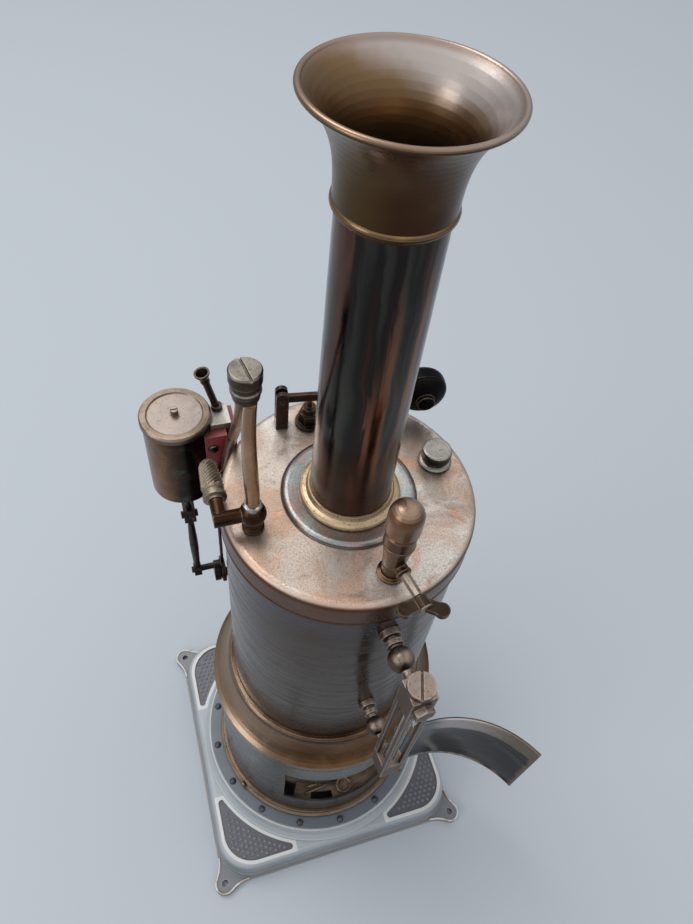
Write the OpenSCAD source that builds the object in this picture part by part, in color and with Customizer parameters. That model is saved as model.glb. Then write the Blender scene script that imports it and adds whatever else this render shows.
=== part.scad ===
// Vertical model steam engine: a fired boiler on a square cast base,
// with a small one-cylinder engine on its back.
// Millimetres. The origin is the middle of the base, on the table.
// The door, gauge and whistle face -Y, the engine stands at +Y.

/* [Base casting] */
// Width of the square base
base_w = 125; // [116:1:140]
// Distance of a foot hole's centre inside the base's edge
foot_inset = 1.5; // [0.5:0.1:3]
// Diameter of a foot screw hole
foot_hole_d = 3.2; // [2.4:0.1:4]
// Width of metal round a foot hole
foot_rim = 3.6; // [3:0.1:6]
// Thickness of the base's flange and feet
flange_t = 3; // [2:0.1:5]
// Height of the corner panels' plane
base_h = 15.6; // [12:0.1:22]
// Radius of the base block's corners
base_corner_r = 18; // [14:0.5:20]
// Inward step of the moulded side from flange to top
side_draft = 3.6; // [2:0.1:4]
// Wall of the base casting
base_wall = 4.2; // [3:0.1:6]
// Diameter of the raised round plinth
plinth_d = 110.8; // [106:0.2:114]
// Height of the plinth over the panels' plane
plinth_rise = 9.1; // [6:0.1:12]
// Width of the raised lining between a corner panel and the plinth
lining_w = 1.5; // [1:0.1:2]
// Height of the raised lining over the panel
lining_h = 0.9; // [0.5:0.1:1.5]
// Diameter of the circle of rivets
rivet_ring_d = 104; // [103:0.2:106]
// Number of rivets
rivet_count = 16; // [8:1:24]
// Diameter of a rivet's head
rivet_d = 3.4; // [2.4:0.1:4]

/* [Firebox and door] */
// Outer diameter of the firebox
firebox_d = 93; // [90:0.5:96]
// Thickness of the firebox sheet
firebox_t = 1; // [0.8:0.1:1.6]
// Height of the firebox over the plinth
firebox_h = 84; // [76:1:92]
// Angle covered by the stoke hole
hole_angle = 69; // [50:1:80]
// Height of the stoke hole
hole_h = 38.5; // [34:0.5:44]
// Height of the stoke hole's sill over the plinth
sill_h = 21.7; // [18:0.1:26]
// Gap between the closed door and the firebox
door_gap = 1.3; // [1:0.1:2]
// Thickness of the door sheet
door_t = 0.8; // [0.6:0.1:1.4]
// Overlap of the door past the stoke hole's sides and sill
door_lap = 1.5; // [1:0.1:3]
// Overlap of the door over the top of the stoke hole
door_top_lap = 12; // [2:0.5:15]
// Radius of the door's rolled edges
door_bead_r = 0.9; // [0.7:0.1:1.3]
// Diameter of the hinge pin
hinge_pin_d = 1.6; // [1.2:0.1:2]
// Angle by which the door stands open
door_open = 151; // [90:1:155]

/* [Boiler] */
// Outer diameter of the boiler shell
shell_d = 78; // [74:0.5:80]
// Thickness of the boiler shell
shell_t = 1.2; // [0.8:0.1:2]
// Height of the boiler's lid over the table
boiler_top = 241.6; // [230:0.2:260]
// Height of the lid's rim
lid_rim_h = 9.3; // [7:0.1:12]
// Thickness of the lid's top
lid_t = 1.6; // [1.2:0.1:2.4]
// Overhang of the lid's rim past the shell
lid_over = 1; // [0.8:0.1:2]
// Diameter of the raised ring round the chimney
ring_d = 41.2; // [38:0.2:44]
// Height of the skirt ring between firebox and shell
skirt_h = 20.8; // [16:0.2:24]
// Overhang of the skirt ring past the firebox
skirt_over = 1.9; // [1:0.1:2.4]

/* [Chimney] */
// Outer diameter of the chimney tube
tube_d = 24.6; // [22:0.2:28]
// Wall of the chimney tube
tube_t = 0.8; // [0.6:0.1:1.4]
// Height of the bead over the lid
bead_rise = 100.8; // [80:0.2:120]
// Diameter of the bead
bead_d = 26.8; // [26.2:0.1:30]
// Height of the mouth over the bead
mouth_h = 22.9; // [18:0.2:30]
// Diameter of the mouth's rolled rim
mouth_d = 42.2; // [38:0.2:50]
// Diameter of the brass collar
collar_d = 31; // [29:0.2:34]

/* [Fittings on the lid] */
// Distance of the fittings inside the shell
fitting_in = 8; // [7.6:0.1:10]
// Height of the whistle
whistle_h = 34; // [30:0.5:42]
// Diameter of the whistle's bell
whistle_d = 9.8; // [9:0.1:11]
// Diameter of the stop valve's ball
ball_d = 8; // [7:0.1:9]
// Outer diameter of the steam pipe
pipe_d = 4.2; // [3.6:0.1:4.6]
// Height of the pipe's top over the lid
pipe_rise = 56; // [50:0.5:60]
// Diameter of the oil cup's cap
oil_cap_d = 8.2; // [8:0.1:9.6]
// Length of the safety valve's lever
lever_l = 47; // [44:0.5:50]
// Diameter of the lever's weight
weight_d = 16; // [14:0.2:17]
// Diameter of the filler plug
plug_d = 9.6; // [8:0.1:11]

/* [Water gauge] */
// Depth of the gauge's top fitting under the lid's top
gauge_down = 21.1; // [19:0.1:28]
// Distance between the gauge's two fittings
gauge_l = 62; // [56:0.5:70]
// Distance of the glass outside the shell
gauge_out = 21; // [18:0.5:24]
// Diameter of the gauge glass
glass_d = 4; // [3:0.1:5]

/* [Engine] */
// Distance of the cylinder's axis outside the shell, to the left
cyl_out = 7.7; // [7.4:0.1:10]
// Distance of the crankshaft outside the shell, to the back
crank_out = 7; // [6:0.1:9]
// Height of the crankshaft
crank_z = 124; // [122:0.5:132]
// Throw of the crank
throw = 8; // [6:0.1:9]
// Outer diameter of the cylinder
cyl_d = 22.6; // [20:0.1:23]
// Depth of the cylinder's top under the lid's top
cyl_down = 3.6; // [0:0.1:8]
// Length of the cylinder
cyl_l = 38; // [34:0.5:40]
// Length of the connecting rod between its centres
rod_l = 45; // [40:0.5:48]
// Diameter of the crankshaft
shaft_d = 4; // [3:0.1:5]
// Diameter of the flywheel
wheel_d = 68; // [56:0.5:70]
// Width of the flywheel's rim
wheel_w = 5.5; // [4:0.1:7]

/* [Hidden] */

$fn = 64;
fit = 0.05;
gap = 0.3;
eps = 0.01;

bronze = [0.46, 0.32, 0.2];
brass = [0.62, 0.47, 0.27];
blued = [0.3, 0.32, 0.34];
casting_grey = [0.5, 0.54, 0.56];
iron_red = [0.6, 0.16, 0.16];
black = [0.08, 0.08, 0.09];

foot_c = base_w / 2 - foot_inset;
foot_r = foot_hole_d / 2 + foot_rim;
foot_fillet = 16;
fillet_bite = 0.02;
deck_z = base_h + lining_h;
plinth_z = base_h + plinth_rise;
plinth_r = plinth_d / 2;
plinth_foot_r = plinth_r + 3.2;
panel_half = base_w / 2 - side_draft - lining_w - 0.2;
panel_r = plinth_foot_r + lining_w + 0.2;
panel_corner = base_corner_r - side_draft;
panel_tip = 1.5;
rivet_h = 1.4;

firebox_r = firebox_d / 2;
firebox_top = plinth_z + firebox_h;
hole_z = plinth_z + sill_h;
hole_dir = -90;
band_h = 5;
band_t = 1.6;

shell_r = shell_d / 2;
fitting_r = shell_r - fitting_in;
gauge_reach = shell_r + gauge_out;
cyl_x = shell_r + cyl_out;
crank_y = shell_r + crank_out;
gauge_z = boiler_top - gauge_down;
cyl_top = boiler_top - cyl_down;
lid_r = shell_r + lid_over;
lid_z = boiler_top - lid_rim_h;
lid_round = 2.4;
skirt_lip = 4.8;
skirt_z = firebox_top - skirt_lip;
skirt_top = firebox_top + skirt_h - skirt_lip;
skirt_r = firebox_r + skirt_over;
bottom_t = 1.6;
bottom_z = firebox_top + 3;
shell_z = firebox_top - 6;

tube_r = tube_d / 2;
bead_z = boiler_top + bead_rise;
mouth_top = bead_z + mouth_h;
mouth_r = mouth_d / 2;
ring_h = 0.7;
ring_r = ring_d / 2;

// Angles of the lid's fittings and of the gauge
whistle_dir = -83.5;
whistle_r = fitting_r - 0.8;
filler_dir = 9.2;
filler_r = fitting_r - 0.3;
valve_dir = 190.5;
valve_r = fitting_r + 1;
gauge_dir = -86;

module at_dir(r, a, z) {
  rotate([0, 0, a]) translate([r, 0, z]) children();
}

// A solid turned from [radius, height] points
module turned(points) {
  rotate_extrude() polygon(points);
}

// The room of the boiler shell, cut out of the pieces that grip it
module shell_room() {
  cylinder(r = shell_r + fit, h = boiler_top);
}

module ring(r_out, r_in, h) {
  difference() {
    cylinder(r = r_out, h = h);
    translate([0, 0, -eps]) cylinder(r = r_in, h = h + 2 * eps);
  }
}

// A square with round corners, by its half width
module round_square(half, r) {
  square([2 * half, 2 * (half - r)], center = true);
  square([2 * (half - r), 2 * half], center = true);
  for (sx = [-1, 1], sy = [-1, 1]) translate([sx * (half - r), sy * (half - r)]) circle(r);
}

// A square block whose sides follow one profile of [inward step, height]
module moulded_block(half, r, profile) {
  c = half - r;
  edge = [for (p = profile) [half - p[0], p[1]]];
  last = len(edge) - 1;
  outline = concat(edge, [for (i = [last : -1 : 0]) [-edge[i][0], edge[i][1]]]);
  turn = concat([for (p = edge) [p[0] - c, p[1]]], [[0, edge[last][1]], [0, edge[0][1]]]);
  for (a = [0, 90]) rotate([0, 0, a]) translate([0, c, 0]) rotate([90, 0, 0])
    linear_extrude(2 * c) polygon(outline);
  for (sx = [-1, 1], sy = [-1, 1]) translate([sx * c, sy * c, 0]) rotate_extrude() polygon(turn);
}

// The triangular corner panel, sunk below the deck
module panel_shape() {
  tip_x = panel_half - panel_tip;
  tip_y = sqrt(pow(panel_r + panel_tip, 2) - tip_x * tip_x);
  intersection() {
    difference() {
      round_square(panel_half, panel_corner);
      circle(panel_r, $fn = 120);
    }
    translate([tip_y, tip_y]) square(panel_half);
  }
  for (p = [[tip_x, tip_y], [tip_y, tip_x]]) translate(p) circle(panel_tip);
}

// The flange with its four ears
module foot_outline() {
  half = base_w / 2;
  dx = half + foot_fillet - foot_c;
  dy = sqrt(pow(foot_r + foot_fillet - fillet_bite, 2) - dx * dx);
  round_square(half, 2);
  for (sx = [-1, 1], sy = [-1, 1]) scale([sx, sy]) {
    translate([foot_c, foot_c]) circle(foot_r);
    for (m = [0, 1]) mirror([m, -m]) difference() {
      polygon([
        [foot_c, foot_c], [half - 2, foot_c - dy], [half, foot_c - dy],
        [half + foot_fillet, foot_c - dy]
      ]);
      translate([half + foot_fillet, foot_c - dy]) circle(foot_fillet);
    }
  }
}

module base_casting() {
  profile = [
    [0.6, flange_t - eps], [0.9, flange_t + 1.6], [1.6, flange_t + 2.4],
    [side_draft - 1.4, deck_z - 3], [side_draft - 1.2, deck_z - 1.9],
    [side_draft - 0.6, deck_z - 0.9], [side_draft + 0.2, deck_z - 0.2], [side_draft + 1.2, deck_z]
  ];
  cavity_r = plinth_r - base_wall;
  color(casting_grey) difference() {
    union() {
      linear_extrude(flange_t) foot_outline();
      moulded_block(base_w / 2, base_corner_r, profile);
      turned([
        [0, base_h], [plinth_foot_r, base_h], [plinth_foot_r, base_h + 1.6],
        [plinth_foot_r - 0.8, base_h + 2.3], [plinth_r + 0.9, base_h + 4.4],
        [plinth_r + 0.5, plinth_z - 1.2], [plinth_r + 0.3, plinth_z], [plinth_r, plinth_z + 0.4],
        [plinth_r - 0.6, plinth_z + 0.4], [plinth_r - 0.9, plinth_z], [0, plinth_z]
      ]);
    }
    for (k = [0 : 3]) rotate([0, 0, 90 * k]) translate([0, 0, base_h])
      linear_extrude(lining_h + 1) panel_shape();
    for (sx = [-1, 1], sy = [-1, 1]) translate([sx * foot_c, sy * foot_c, -1])
      cylinder(d = foot_hole_d, h = flange_t + 2);
    translate([0, 0, -1]) cylinder(r = cavity_r, h = plinth_z - base_wall + 1);
  }
}

module base_rivets() {
  color(casting_grey)
    for (k = [0 : rivet_count - 1])
      at_dir(rivet_ring_d / 2, k * 360 / rivet_count, plinth_z)
        intersection() {
          cylinder(d = rivet_d, h = rivet_h);
          translate([0, 0, rivet_h - rivet_d / 2]) sphere(d = rivet_d * 1.02);
        }
}

// A wedge that opens the firebox between two angles
module wedge(r, a0, a1, h) {
  steps = 8;
  linear_extrude(h) polygon(concat([[0, 0]],
    [for (i = [0 : steps]) let (a = a0 + (a1 - a0) * i / steps) r * [cos(a), sin(a)]]));
}

module firebox_wall() {
  color(blued) difference() {
    translate([0, 0, plinth_z]) ring(firebox_r, firebox_r - firebox_t, firebox_h);
    translate([0, 0, hole_z])
      wedge(firebox_r * 1.3, hole_dir - hole_angle / 2, hole_dir + hole_angle / 2, hole_h);
  }
}

module firebox_band() {
  r0 = firebox_r + fit;
  color(bronze) translate([0, 0, plinth_z]) turned([
    [r0, 0], [r0 + band_t + 0.8, 0], [r0 + band_t + 0.8, 0.8], [r0 + band_t - 0.4, 1.2],
    [r0 + band_t - 0.4, band_h - 1.6], [r0 + band_t, band_h - 1.2], [r0 + band_t, band_h - 0.4],
    [r0 + band_t - 0.4, band_h], [r0, band_h]
  ]);
}

tank_h = 14;
tank_r = firebox_r - 9;

module burner_tank() {
  color(brass) translate([0, 0, plinth_z]) turned([
    [0, 0], [tank_r, 0], [tank_r, tank_h - 1], [tank_r - 1, tank_h], [0, tank_h]
  ]);
}

module burner_tubes() {
  ring_r = 0.4 * tank_r;
  tube = 2.6;
  tray_half = 0.69 * tank_r;
  tray_y = -0.61 * tank_r;
  rise = 0.85 * tank_h;
  color(brass) translate([0, 0, plinth_z + tank_h]) {
    translate([0, 0, rise]) rotate_extrude() translate([ring_r, 0]) circle(tube);
    for (a = [30 : 120 : 270]) at_dir(ring_r, a, 0) cylinder(r = 1.8, h = rise);
    rotate([0, 0, 24]) translate([-tray_half, tray_y, 8]) cube([2 * tray_half, 4, 1.6]);
    for (s = [-1, 1]) rotate([0, 0, 24]) translate([0.77 * s * tray_half - 1.5, tray_y, 0])
      cube([3, 4, 8 + eps]);
  }
}

door_r = firebox_r + door_gap;
door_z = hole_z - door_lap;
door_h = hole_h + door_lap + door_top_lap;
hinge_a = hole_dir + hole_angle / 2 + 5.5;
hinge_r = door_r + door_t;
knuckle_r = hinge_pin_d / 2 + 0.8;
knuckle_h = 6;
door_end = hinge_a - 2.8;
door_start = hole_dir - hole_angle / 2 - 0.8;

module door_hinge() {
  color(bronze) at_dir(hinge_r, hinge_a, 0) {
    translate([0, 0, door_z]) cylinder(d = hinge_pin_d, h = door_h);
    for (z = [door_z, door_z + door_h - knuckle_h]) translate([0, 0, z]) {
      cylinder(r = knuckle_r, h = knuckle_h);
      translate([firebox_r + fit - hinge_r, 0.2, 0])
        cube([hinge_r - firebox_r - fit, knuckle_r - 0.2, knuckle_h]);
    }
  }
}

module closed_door() {
  span = door_end - door_start;
  z0 = door_z;
  rotate([0, 0, door_start]) {
    translate([0, 0, z0 + door_bead_r]) rotate_extrude(angle = span)
      translate([door_r, 0]) square([door_t, door_h - 2 * door_bead_r]);
    for (z = [z0 + door_bead_r, z0 + door_h - door_bead_r]) translate([0, 0, z])
      rotate_extrude(angle = span) translate([door_r + door_t / 2, 0]) circle(door_bead_r, $fn = 24);
  }
  // Barrel between the two fixed knuckles, with its strap to the sheet
  barrel_z = door_z + knuckle_h + gap;
  barrel_h = door_h - 2 * (knuckle_h + gap);
  at_dir(hinge_r, hinge_a, barrel_z) difference() {
    union() {
      cylinder(r = knuckle_r, h = barrel_h);
      rotate([0, 0, -90]) translate([0, -0.5, 0]) cube([3, 0.7, barrel_h]);
    }
    translate([0, 0, -1]) cylinder(d = hinge_pin_d + 2 * fit, h = barrel_h + 2);
  }
}

module about_hinge(a) {
  h = hinge_r * [cos(hinge_a), sin(hinge_a)];
  translate([h[0], h[1], 0]) rotate([0, 0, a]) translate([-h[0], -h[1], 0]) children();
}

module fire_door() {
  color(blued) about_hinge(door_open) closed_door();
}

module skirt_ring() {
  r_in = shell_r + fit;
  r_fire = firebox_r + fit;
  h = skirt_top - firebox_top;
  steps = 10;
  curve = [for (i = [0 : steps]) let (t = i / steps)
    [skirt_r - (skirt_r - r_in - 2.2) * pow(sin(90 * t), 0.8), firebox_top + 2 + (h - 4.4) * t]];
  color(bronze) turned(concat(
    [[r_in, firebox_top + eps], [r_fire, firebox_top + eps], [r_fire, skirt_z], [skirt_r - 0.9, skirt_z],
     [skirt_r - 0.5, skirt_z + 0.6], [skirt_r - 0.1, skirt_z + 3.4]],
    curve,
    [[r_in + 2.2, skirt_top - 0.8], [r_in + 1.4, skirt_top], [r_in, skirt_top]]
  ));
}

module boiler_shell() {
  color(blued) translate([0, 0, shell_z]) ring(shell_r, shell_r - shell_t, boiler_top - lid_t - shell_z);
}

module boiler_bottom() {
  color(bronze) translate([0, 0, bottom_z])
    ring(shell_r - shell_t - fit, tube_r + fit, bottom_t);
}

module flue_tube() {
  color(bronze) translate([0, 0, bottom_z]) ring(tube_r, tube_r - tube_t, boiler_top - 3 - bottom_z);
}

module boiler_lid() {
  steps = 6;
  edge = [for (i = [0 : steps]) let (a = 90 * i / steps)
    [lid_r - lid_round + lid_round * cos(a), boiler_top - lid_round + lid_round * sin(a)]];
  inner = shell_r + fit;
  color(bronze) turned(concat(
    [[inner, lid_z + 1], [inner, lid_z - 1.6], [lid_r - 0.3, lid_z - 1.6], [lid_r + 0.1, lid_z - 1],
     [lid_r - 0.2, lid_z - 0.2], [lid_r, lid_z + 0.4]],
    edge,
    [[ring_r + 0.6, boiler_top], [ring_r + 0.3, boiler_top - 0.4], [ring_r, boiler_top],
     [ring_r - 0.2, boiler_top + 0.5], [ring_r - 0.7, boiler_top + 0.9],
     [ring_r - 1.5, boiler_top + 1.1], [ring_r - 2.6, boiler_top + 1],
     [collar_d / 2 + 0.4, boiler_top + ring_h], [tube_r + fit, boiler_top + ring_h],
     [tube_r + fit, boiler_top - lid_t], [inner, boiler_top - lid_t]]
  ));
}

module chimney_collar() {
  z = boiler_top + ring_h;
  r = collar_d / 2;
  color(brass) turned([
    [tube_r + fit, z], [r - 0.3, z], [r, z + 0.4], [r, z + 1.2], [r - 0.3, z + 1.7],
    [r - 0.9, z + 2], [tube_r + 1.3, z + 2.3], [tube_r + 0.9, z + 3], [tube_r + 0.7, z + 3.8],
    [tube_r + fit, z + 3.8]
  ]);
}

module chimney_tube() {
  z = boiler_top - 3 + eps;
  color(blued) translate([0, 0, z]) ring(tube_r, tube_r - tube_t, bead_z + 4 - z);
}

// Trumpet curve of the mouth: how far it flares at t from 0 to 1
function flare(t) = pow(t, 3.2);

bead_r = 1.2;

module chimney_mouth() {
  steps = 16;
  wall = 0.6;
  rim = 0.7;
  neck = tube_r + fit;
  z0 = bead_z - bead_r;
  h = mouth_top - rim - z0;
  spread = mouth_r - rim - neck - wall;
  outer = [for (i = [0 : steps]) let (t = i / steps) [neck + wall + spread * flare(t), z0 + h * t]];
  inner = [for (i = [steps : -1 : 4]) let (t = i / steps) [neck + spread * flare(t), z0 + h * t + 0.3]];
  color(bronze) {
    turned(concat(outer, inner, [[neck, z0 + h * 0.2], [neck, z0]]));
    translate([0, 0, bead_z]) rotate_extrude() difference() {
      translate([bead_d / 2 - bead_r, 0]) circle(bead_r, $fn = 32);
      translate([0, -2]) square([neck, 4]);
    }
    translate([0, 0, mouth_top - rim]) rotate_extrude() translate([mouth_r - rim, 0]) circle(rim, $fn = 32);
  }
}

module filler_plug() {
  r = plug_d / 2;
  color(bronze) at_dir(filler_r, filler_dir, boiler_top)
    turned([
      [0, 0], [r + 0.6, 0], [r + 0.6, 1], [r + 0.1, 1.4], [r - 0.5, 1.6], [r - 0.5, 2.4],
      [r - 0.1, 2.8], [r, 3.2], [r, 5.6], [r - 0.2, 6], [r - 0.7, 6.3], [0, 6.3]
    ]);
}

// The whistle's cock: height and direction of its arm, and distance of its key
cock_z = 0.22 * whistle_h;
cock_dir = -79;
cock_reach = 0.38 * whistle_h;
wing_l = 0.16 * whistle_h;
wing_r = 2.2;
wing_t = 1.4;

module whistle_arm() {
  at_dir(whistle_r, whistle_dir, boiler_top + cock_z) rotate([0, 0, cock_dir - whistle_dir]) children();
}

module whistle_body() {
  r = whistle_d / 2;
  h = whistle_h;
  color(bronze) {
    at_dir(whistle_r, whistle_dir, boiler_top) turned([
      [0, 0], [4.2, 0], [4.2, 0.9], [3.2, 1.3], [3.2, 5], [3.4, 5.6], [r - 1.6, 6.2],
      [r - 0.6, 0.47 * h], [r - 0.3, 0.475 * h], [r - 0.3, 0.5 * h], [r - 0.45, 0.505 * h],
      [r - 0.45, 0.64 * h], [r - 1, 0.66 * h], [1.4, 0.66 * h], [1.4, h - 2], [0, h - 2]
    ]);
    // Side arm that carries the cock
    whistle_arm() rotate([0, 90, 0]) {
      cylinder(r = 1.3, h = cock_reach);
      cylinder(r = 2, h = 5);
    }
  }
}

module whistle_bell() {
  r = whistle_d / 2;
  steps = 8;
  h = whistle_h;
  z1 = h - 0.9 * r;
  dome = [for (i = [0 : steps]) let (a = 90 * i / steps) [r * cos(a), z1 + 0.9 * r * sin(a)]];
  color(bronze) at_dir(whistle_r, whistle_dir, boiler_top) difference() {
    turned(concat([[0, 0.7 * h], [r, 0.7 * h]], dome));
    translate([0, 0, 0.7 * h - 1]) cylinder(r = r - 0.8, h = 0.15 * h);
    translate([0, 0, 0.7 * h - 1]) cylinder(r = 1.4 + fit, h = 0.3 * h - 1 + fit);
  }
}

module whistle_lever() {
  color(brass) whistle_arm() translate([cock_reach + gap, 0, 0]) {
    rotate([0, 90, 0]) cylinder(r = 1.9, h = 3.6);
    for (a = [-94, 42]) translate([1.9, 0, -wing_t / 2]) rotate([0, 0, a]) {
      translate([0, -1.8, 0]) cube([wing_l, 3.6, wing_t]);
      translate([wing_l, 0, 0]) cylinder(r = wing_r, h = wing_t);
    }
  }
}

// The safety valve's lever line on the lid
post_dir = 114.7;
post_p = (fitting_r + 2.7) * [cos(post_dir), sin(post_dir)];
lever_dir = -7.2;
lever_z = boiler_top + 12.6;
lever_w = 3;
lever_t = 1.4;
nut_at = 9;
post_t = 4.2;

module on_lever_line() {
  translate([post_p[0], post_p[1], 0]) rotate([0, 0, lever_dir]) children();
}

module safety_valve() {
  color(bronze) on_lever_line() translate([nut_at, 0, boiler_top]) {
    cylinder(r = 4.4, h = 1.4);
    cylinder(r = 3.5, h = 5.4, $fn = 6);
    cylinder(r = 2.2, h = 8);
    cylinder(r = 0.8, h = lever_z - lever_w / 2 - boiler_top - fit);
  }
}

module safety_post() {
  color(bronze) on_lever_line() difference() {
    union() {
      translate([-2, -post_t / 2, boiler_top]) cube([4, post_t, 14.4]);
      translate([0, -post_t / 2, boiler_top + 14.4]) rotate([-90, 0, 0]) cylinder(r = 2, h = post_t);
    }
    translate([-3, -lever_t / 2 - fit, boiler_top + 8.6]) cube([6, lever_t + 2 * fit, 10]);
    translate([0, 4, lever_z]) rotate([90, 0, 0]) cylinder(r = 0.8, h = 8);
  }
}

module safety_lever() {
  color(bronze) on_lever_line() translate([0, 0, lever_z]) {
    translate([0, -lever_t / 2, -lever_w / 2]) cube([lever_l, lever_t, lever_w]);
    rotate([90, 0, 0]) translate([0, 0, -lever_t / 2]) cylinder(r = lever_w / 2, h = lever_t);
    rotate([90, 0, 0]) translate([0, 0, -post_t / 2]) cylinder(r = 0.8 - fit, h = post_t);
  }
}

module safety_weight() {
  r = weight_d / 2;
  l = 5.5;
  steps = 8;
  half = [for (i = [0 : steps]) let (a = 90 * i / steps) [r * cos(a), 1 + (l - 1) * sin(a)]];
  back = [for (i = [steps : -1 : 0]) [half[i][0], -half[i][1]]];
  color(black) on_lever_line() translate([lever_l - 1.5, 0, lever_z]) rotate([90, 0, 0])
    difference() {
      union() {
        turned(concat(back, half));
        cylinder(r = 2.9, h = l + 1.2);
      }
      translate([-r - 2, -lever_w / 2 - fit, -lever_t / 2 - fit])
        cube([r + 3.5 + fit, lever_w + 2 * fit, lever_t + 2 * fit]);
    }
}

valve_p = valve_r * [cos(valve_dir), sin(valve_dir)];
valve_z = boiler_top + 7.4;
spindle_x = valve_p[0] - 9.4;
stub_r = 2.2;
socket_h = 11.8;

module stop_valve_body() {
  color(bronze) {
    translate([valve_p[0], valve_p[1], boiler_top]) {
      turned([[0, 0], [3.3, 0], [3.3, 1], [2.8, 1.8], [2.6, 3.4], [2.6, 5], [0, 5]]);
      translate([0, 0, valve_z - boiler_top]) sphere(d = ball_d);
      cylinder(r = pipe_d / 2 + 0.3, h = socket_h);
    }
    translate([spindle_x - 2, valve_p[1], valve_z]) rotate([0, 90, 0])
      cylinder(r = stub_r, h = valve_p[0] - spindle_x + 2);
    difference() {
      translate([spindle_x, valve_p[1], valve_z]) rotate([-90, 0, 0]) cylinder(r = 2.1, h = 6);
      translate([spindle_x, valve_p[1] + 2, valve_z]) rotate([-90, 0, 0]) cylinder(r = 1 + fit, h = 5);
    }
  }
}

module stop_valve_handle() {
  color(brass) translate([spindle_x, valve_p[1] + 6 + gap, valve_z]) rotate([-90, 0, 0]) {
    turned([
      [0, 0], [2.4, 0], [2.4, 0.6], [3.5, 1], [3.5, 2.2], [2.6, 2.6], [2.6, 3.4], [3.1, 4],
      [2.3, 13.9], [1.7, 14.6], [0, 14.6]
    ]);
    translate([0, 0, -3.4]) cylinder(r = 1, h = 3.5);
  }
}

pipe_top_z = boiler_top + pipe_rise;
oil_z = pipe_top_z - 1;
cup_way = [-0.45, 0.89, 0];
cup_p = [valve_p[0], valve_p[1], oil_z] + 1.5 * cup_way;
down_p = cup_p + 1.75 * cup_way - [0, 0, 0.7];

// A point of the cubic curve with the control points c
function curve_at(c, t) = pow(1 - t, 3) * c[0] + 3 * pow(1 - t, 2) * t * c[1]
  + 3 * (1 - t) * t * t * c[2] + pow(t, 3) * c[3];

// A round bar from radius r to r_end, bent along a cubic curve that never runs along X
module bent_bar(c, r, r_end) {
  sides = 20;
  rings = 18;
  path = [for (i = [0 : rings]) curve_at(c, i / rings)];
  way = [for (i = [0 : rings]) path[min(i + 1, rings)] - path[max(i - 1, 0)]];
  rim = [for (i = [0 : rings]) let (
      u = cross(way[i], [1, 0, 0]), v = cross(way[i], u), un = u / norm(u), vn = v / norm(v))
    for (k = [0 : sides - 1]) let (a = 360 * k / sides, ri = r + (r_end - r) * pow(i / rings, 3))
      path[i] + ri * (cos(a) * un + sin(a) * vn)];
  walls = [for (i = [0 : rings - 1], k = [0 : sides - 1]) let (n = (k + 1) % sides)
    [i * sides + k, (i + 1) * sides + k, (i + 1) * sides + n, i * sides + n]];
  first = [for (k = [0 : sides - 1]) k];
  last = [for (k = [sides - 1 : -1 : 0]) rings * sides + k];
  polyhedron(rim, concat(walls, [first, last]));
}

module steam_pipe_up() {
  z0 = boiler_top + socket_h + fit;
  z1 = oil_z - 0.25;
  foot = [valve_p[0], valve_p[1], z0];
  top = [valve_p[0], valve_p[1], z1] - 0.25 * cup_way;
  bow = [-1.4, 0.8, 0];
  color(brass) bent_bar([foot, foot + [0, 0, 14], top + bow - [0, 0, 0.29 * pipe_rise], top],
    pipe_d / 2, 0.38 * pipe_d);
}

module oil_cup() {
  r = oil_cap_d / 2;
  color(bronze) translate(cup_p) difference() {
    turned([
      [0, 0], [r - 1, 0], [r - 0.7, 0.9], [r - 0.6, 2.6], [r - 0.3, 2.9], [r - 0.3, 3.7],
      [r - 0.7, 4], [r - 0.7, 5.6], [r - 0.1, 6.1], [r, 6.6], [r, 9.3], [r - 0.4, 9.7], [0, 9.7]
    ]);
    rotate([0, 0, -81]) translate([-r - 1, -0.35, 9]) cube([2 * r + 2, 0.7, 2]);
  }
}

// Engine: places shared by its pieces
head_w = 6;
head_out = 13.5;
head_x = [head_out - cyl_x, head_out + head_w - cyl_x];
head_y = [crank_y - 9, crank_y + 4];
head_top = cyl_top - 5;
chest_z = head_top;
pipe_in = [head_x[0] + 0.6, head_y[0] - fit, head_top - 16];
union_l = 3.4;

module steam_pipe_down() {
  r = pipe_d / 2 - 0.5;
  end = pipe_in - [0, union_l - 1, 0];
  drop = 0.3 * pipe_rise;
  color(brass) {
    bent_bar([down_p, down_p + drop * [0.1, 0.6, -1.55], end + drop * [0.07, -0.09, 1.31], end],
      r, r);
    translate(pipe_in) rotate([90, 0, 0]) cylinder(r = r + 1, h = union_l, $fn = 6);
  }
}

module gauge_frame() {
  rotate([0, 0, gauge_dir]) children();
}

gauge_low = gauge_z - gauge_l;
block = 4;
low_block = 4;
block_down = 7;
cage_post = 1.6;

module gauge_arm(z, ball, nut) {
  translate([shell_r - 0.6, 0, z]) rotate([0, 90, 0]) {
    cylinder(r = 1.4, h = gauge_reach - shell_r - 2.5);
    translate([0, 0, 0.6 + fit]) cylinder(r = nut, h = 2.2);
    translate([0, 0, 4]) cylinder(r = nut - 0.5, h = 1.6);
    translate([0, 0, 10]) sphere(ball);
  }
}

module gauge_top_fitting() {
  color(bronze) gauge_frame() {
    difference() {
      gauge_arm(gauge_z, 4.1, 3.4);
      shell_room();
    }
    difference() {
      translate([gauge_reach, 0, gauge_z - block_down]) {
        translate([-block, -block, 0]) cube([2 * block, 2 * block, 13]);
        translate([0, 0, 13]) cylinder(r = 4.2, h = 2.6);
        translate([0, 0, 6.4]) rotate([0, 90, 0]) cylinder(r = 3.4, h = block + 2.2, $fn = 6);
      }
      translate([gauge_reach, 0, gauge_z - 8]) cylinder(d = glass_d + 2 * fit, h = 6);
      translate([gauge_reach, 0, gauge_z + 8]) rotate([0, 0, -24]) translate([-5, -0.4, -0.4])
        cube([10, 0.8, 2]);
    }
  }
}

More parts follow.
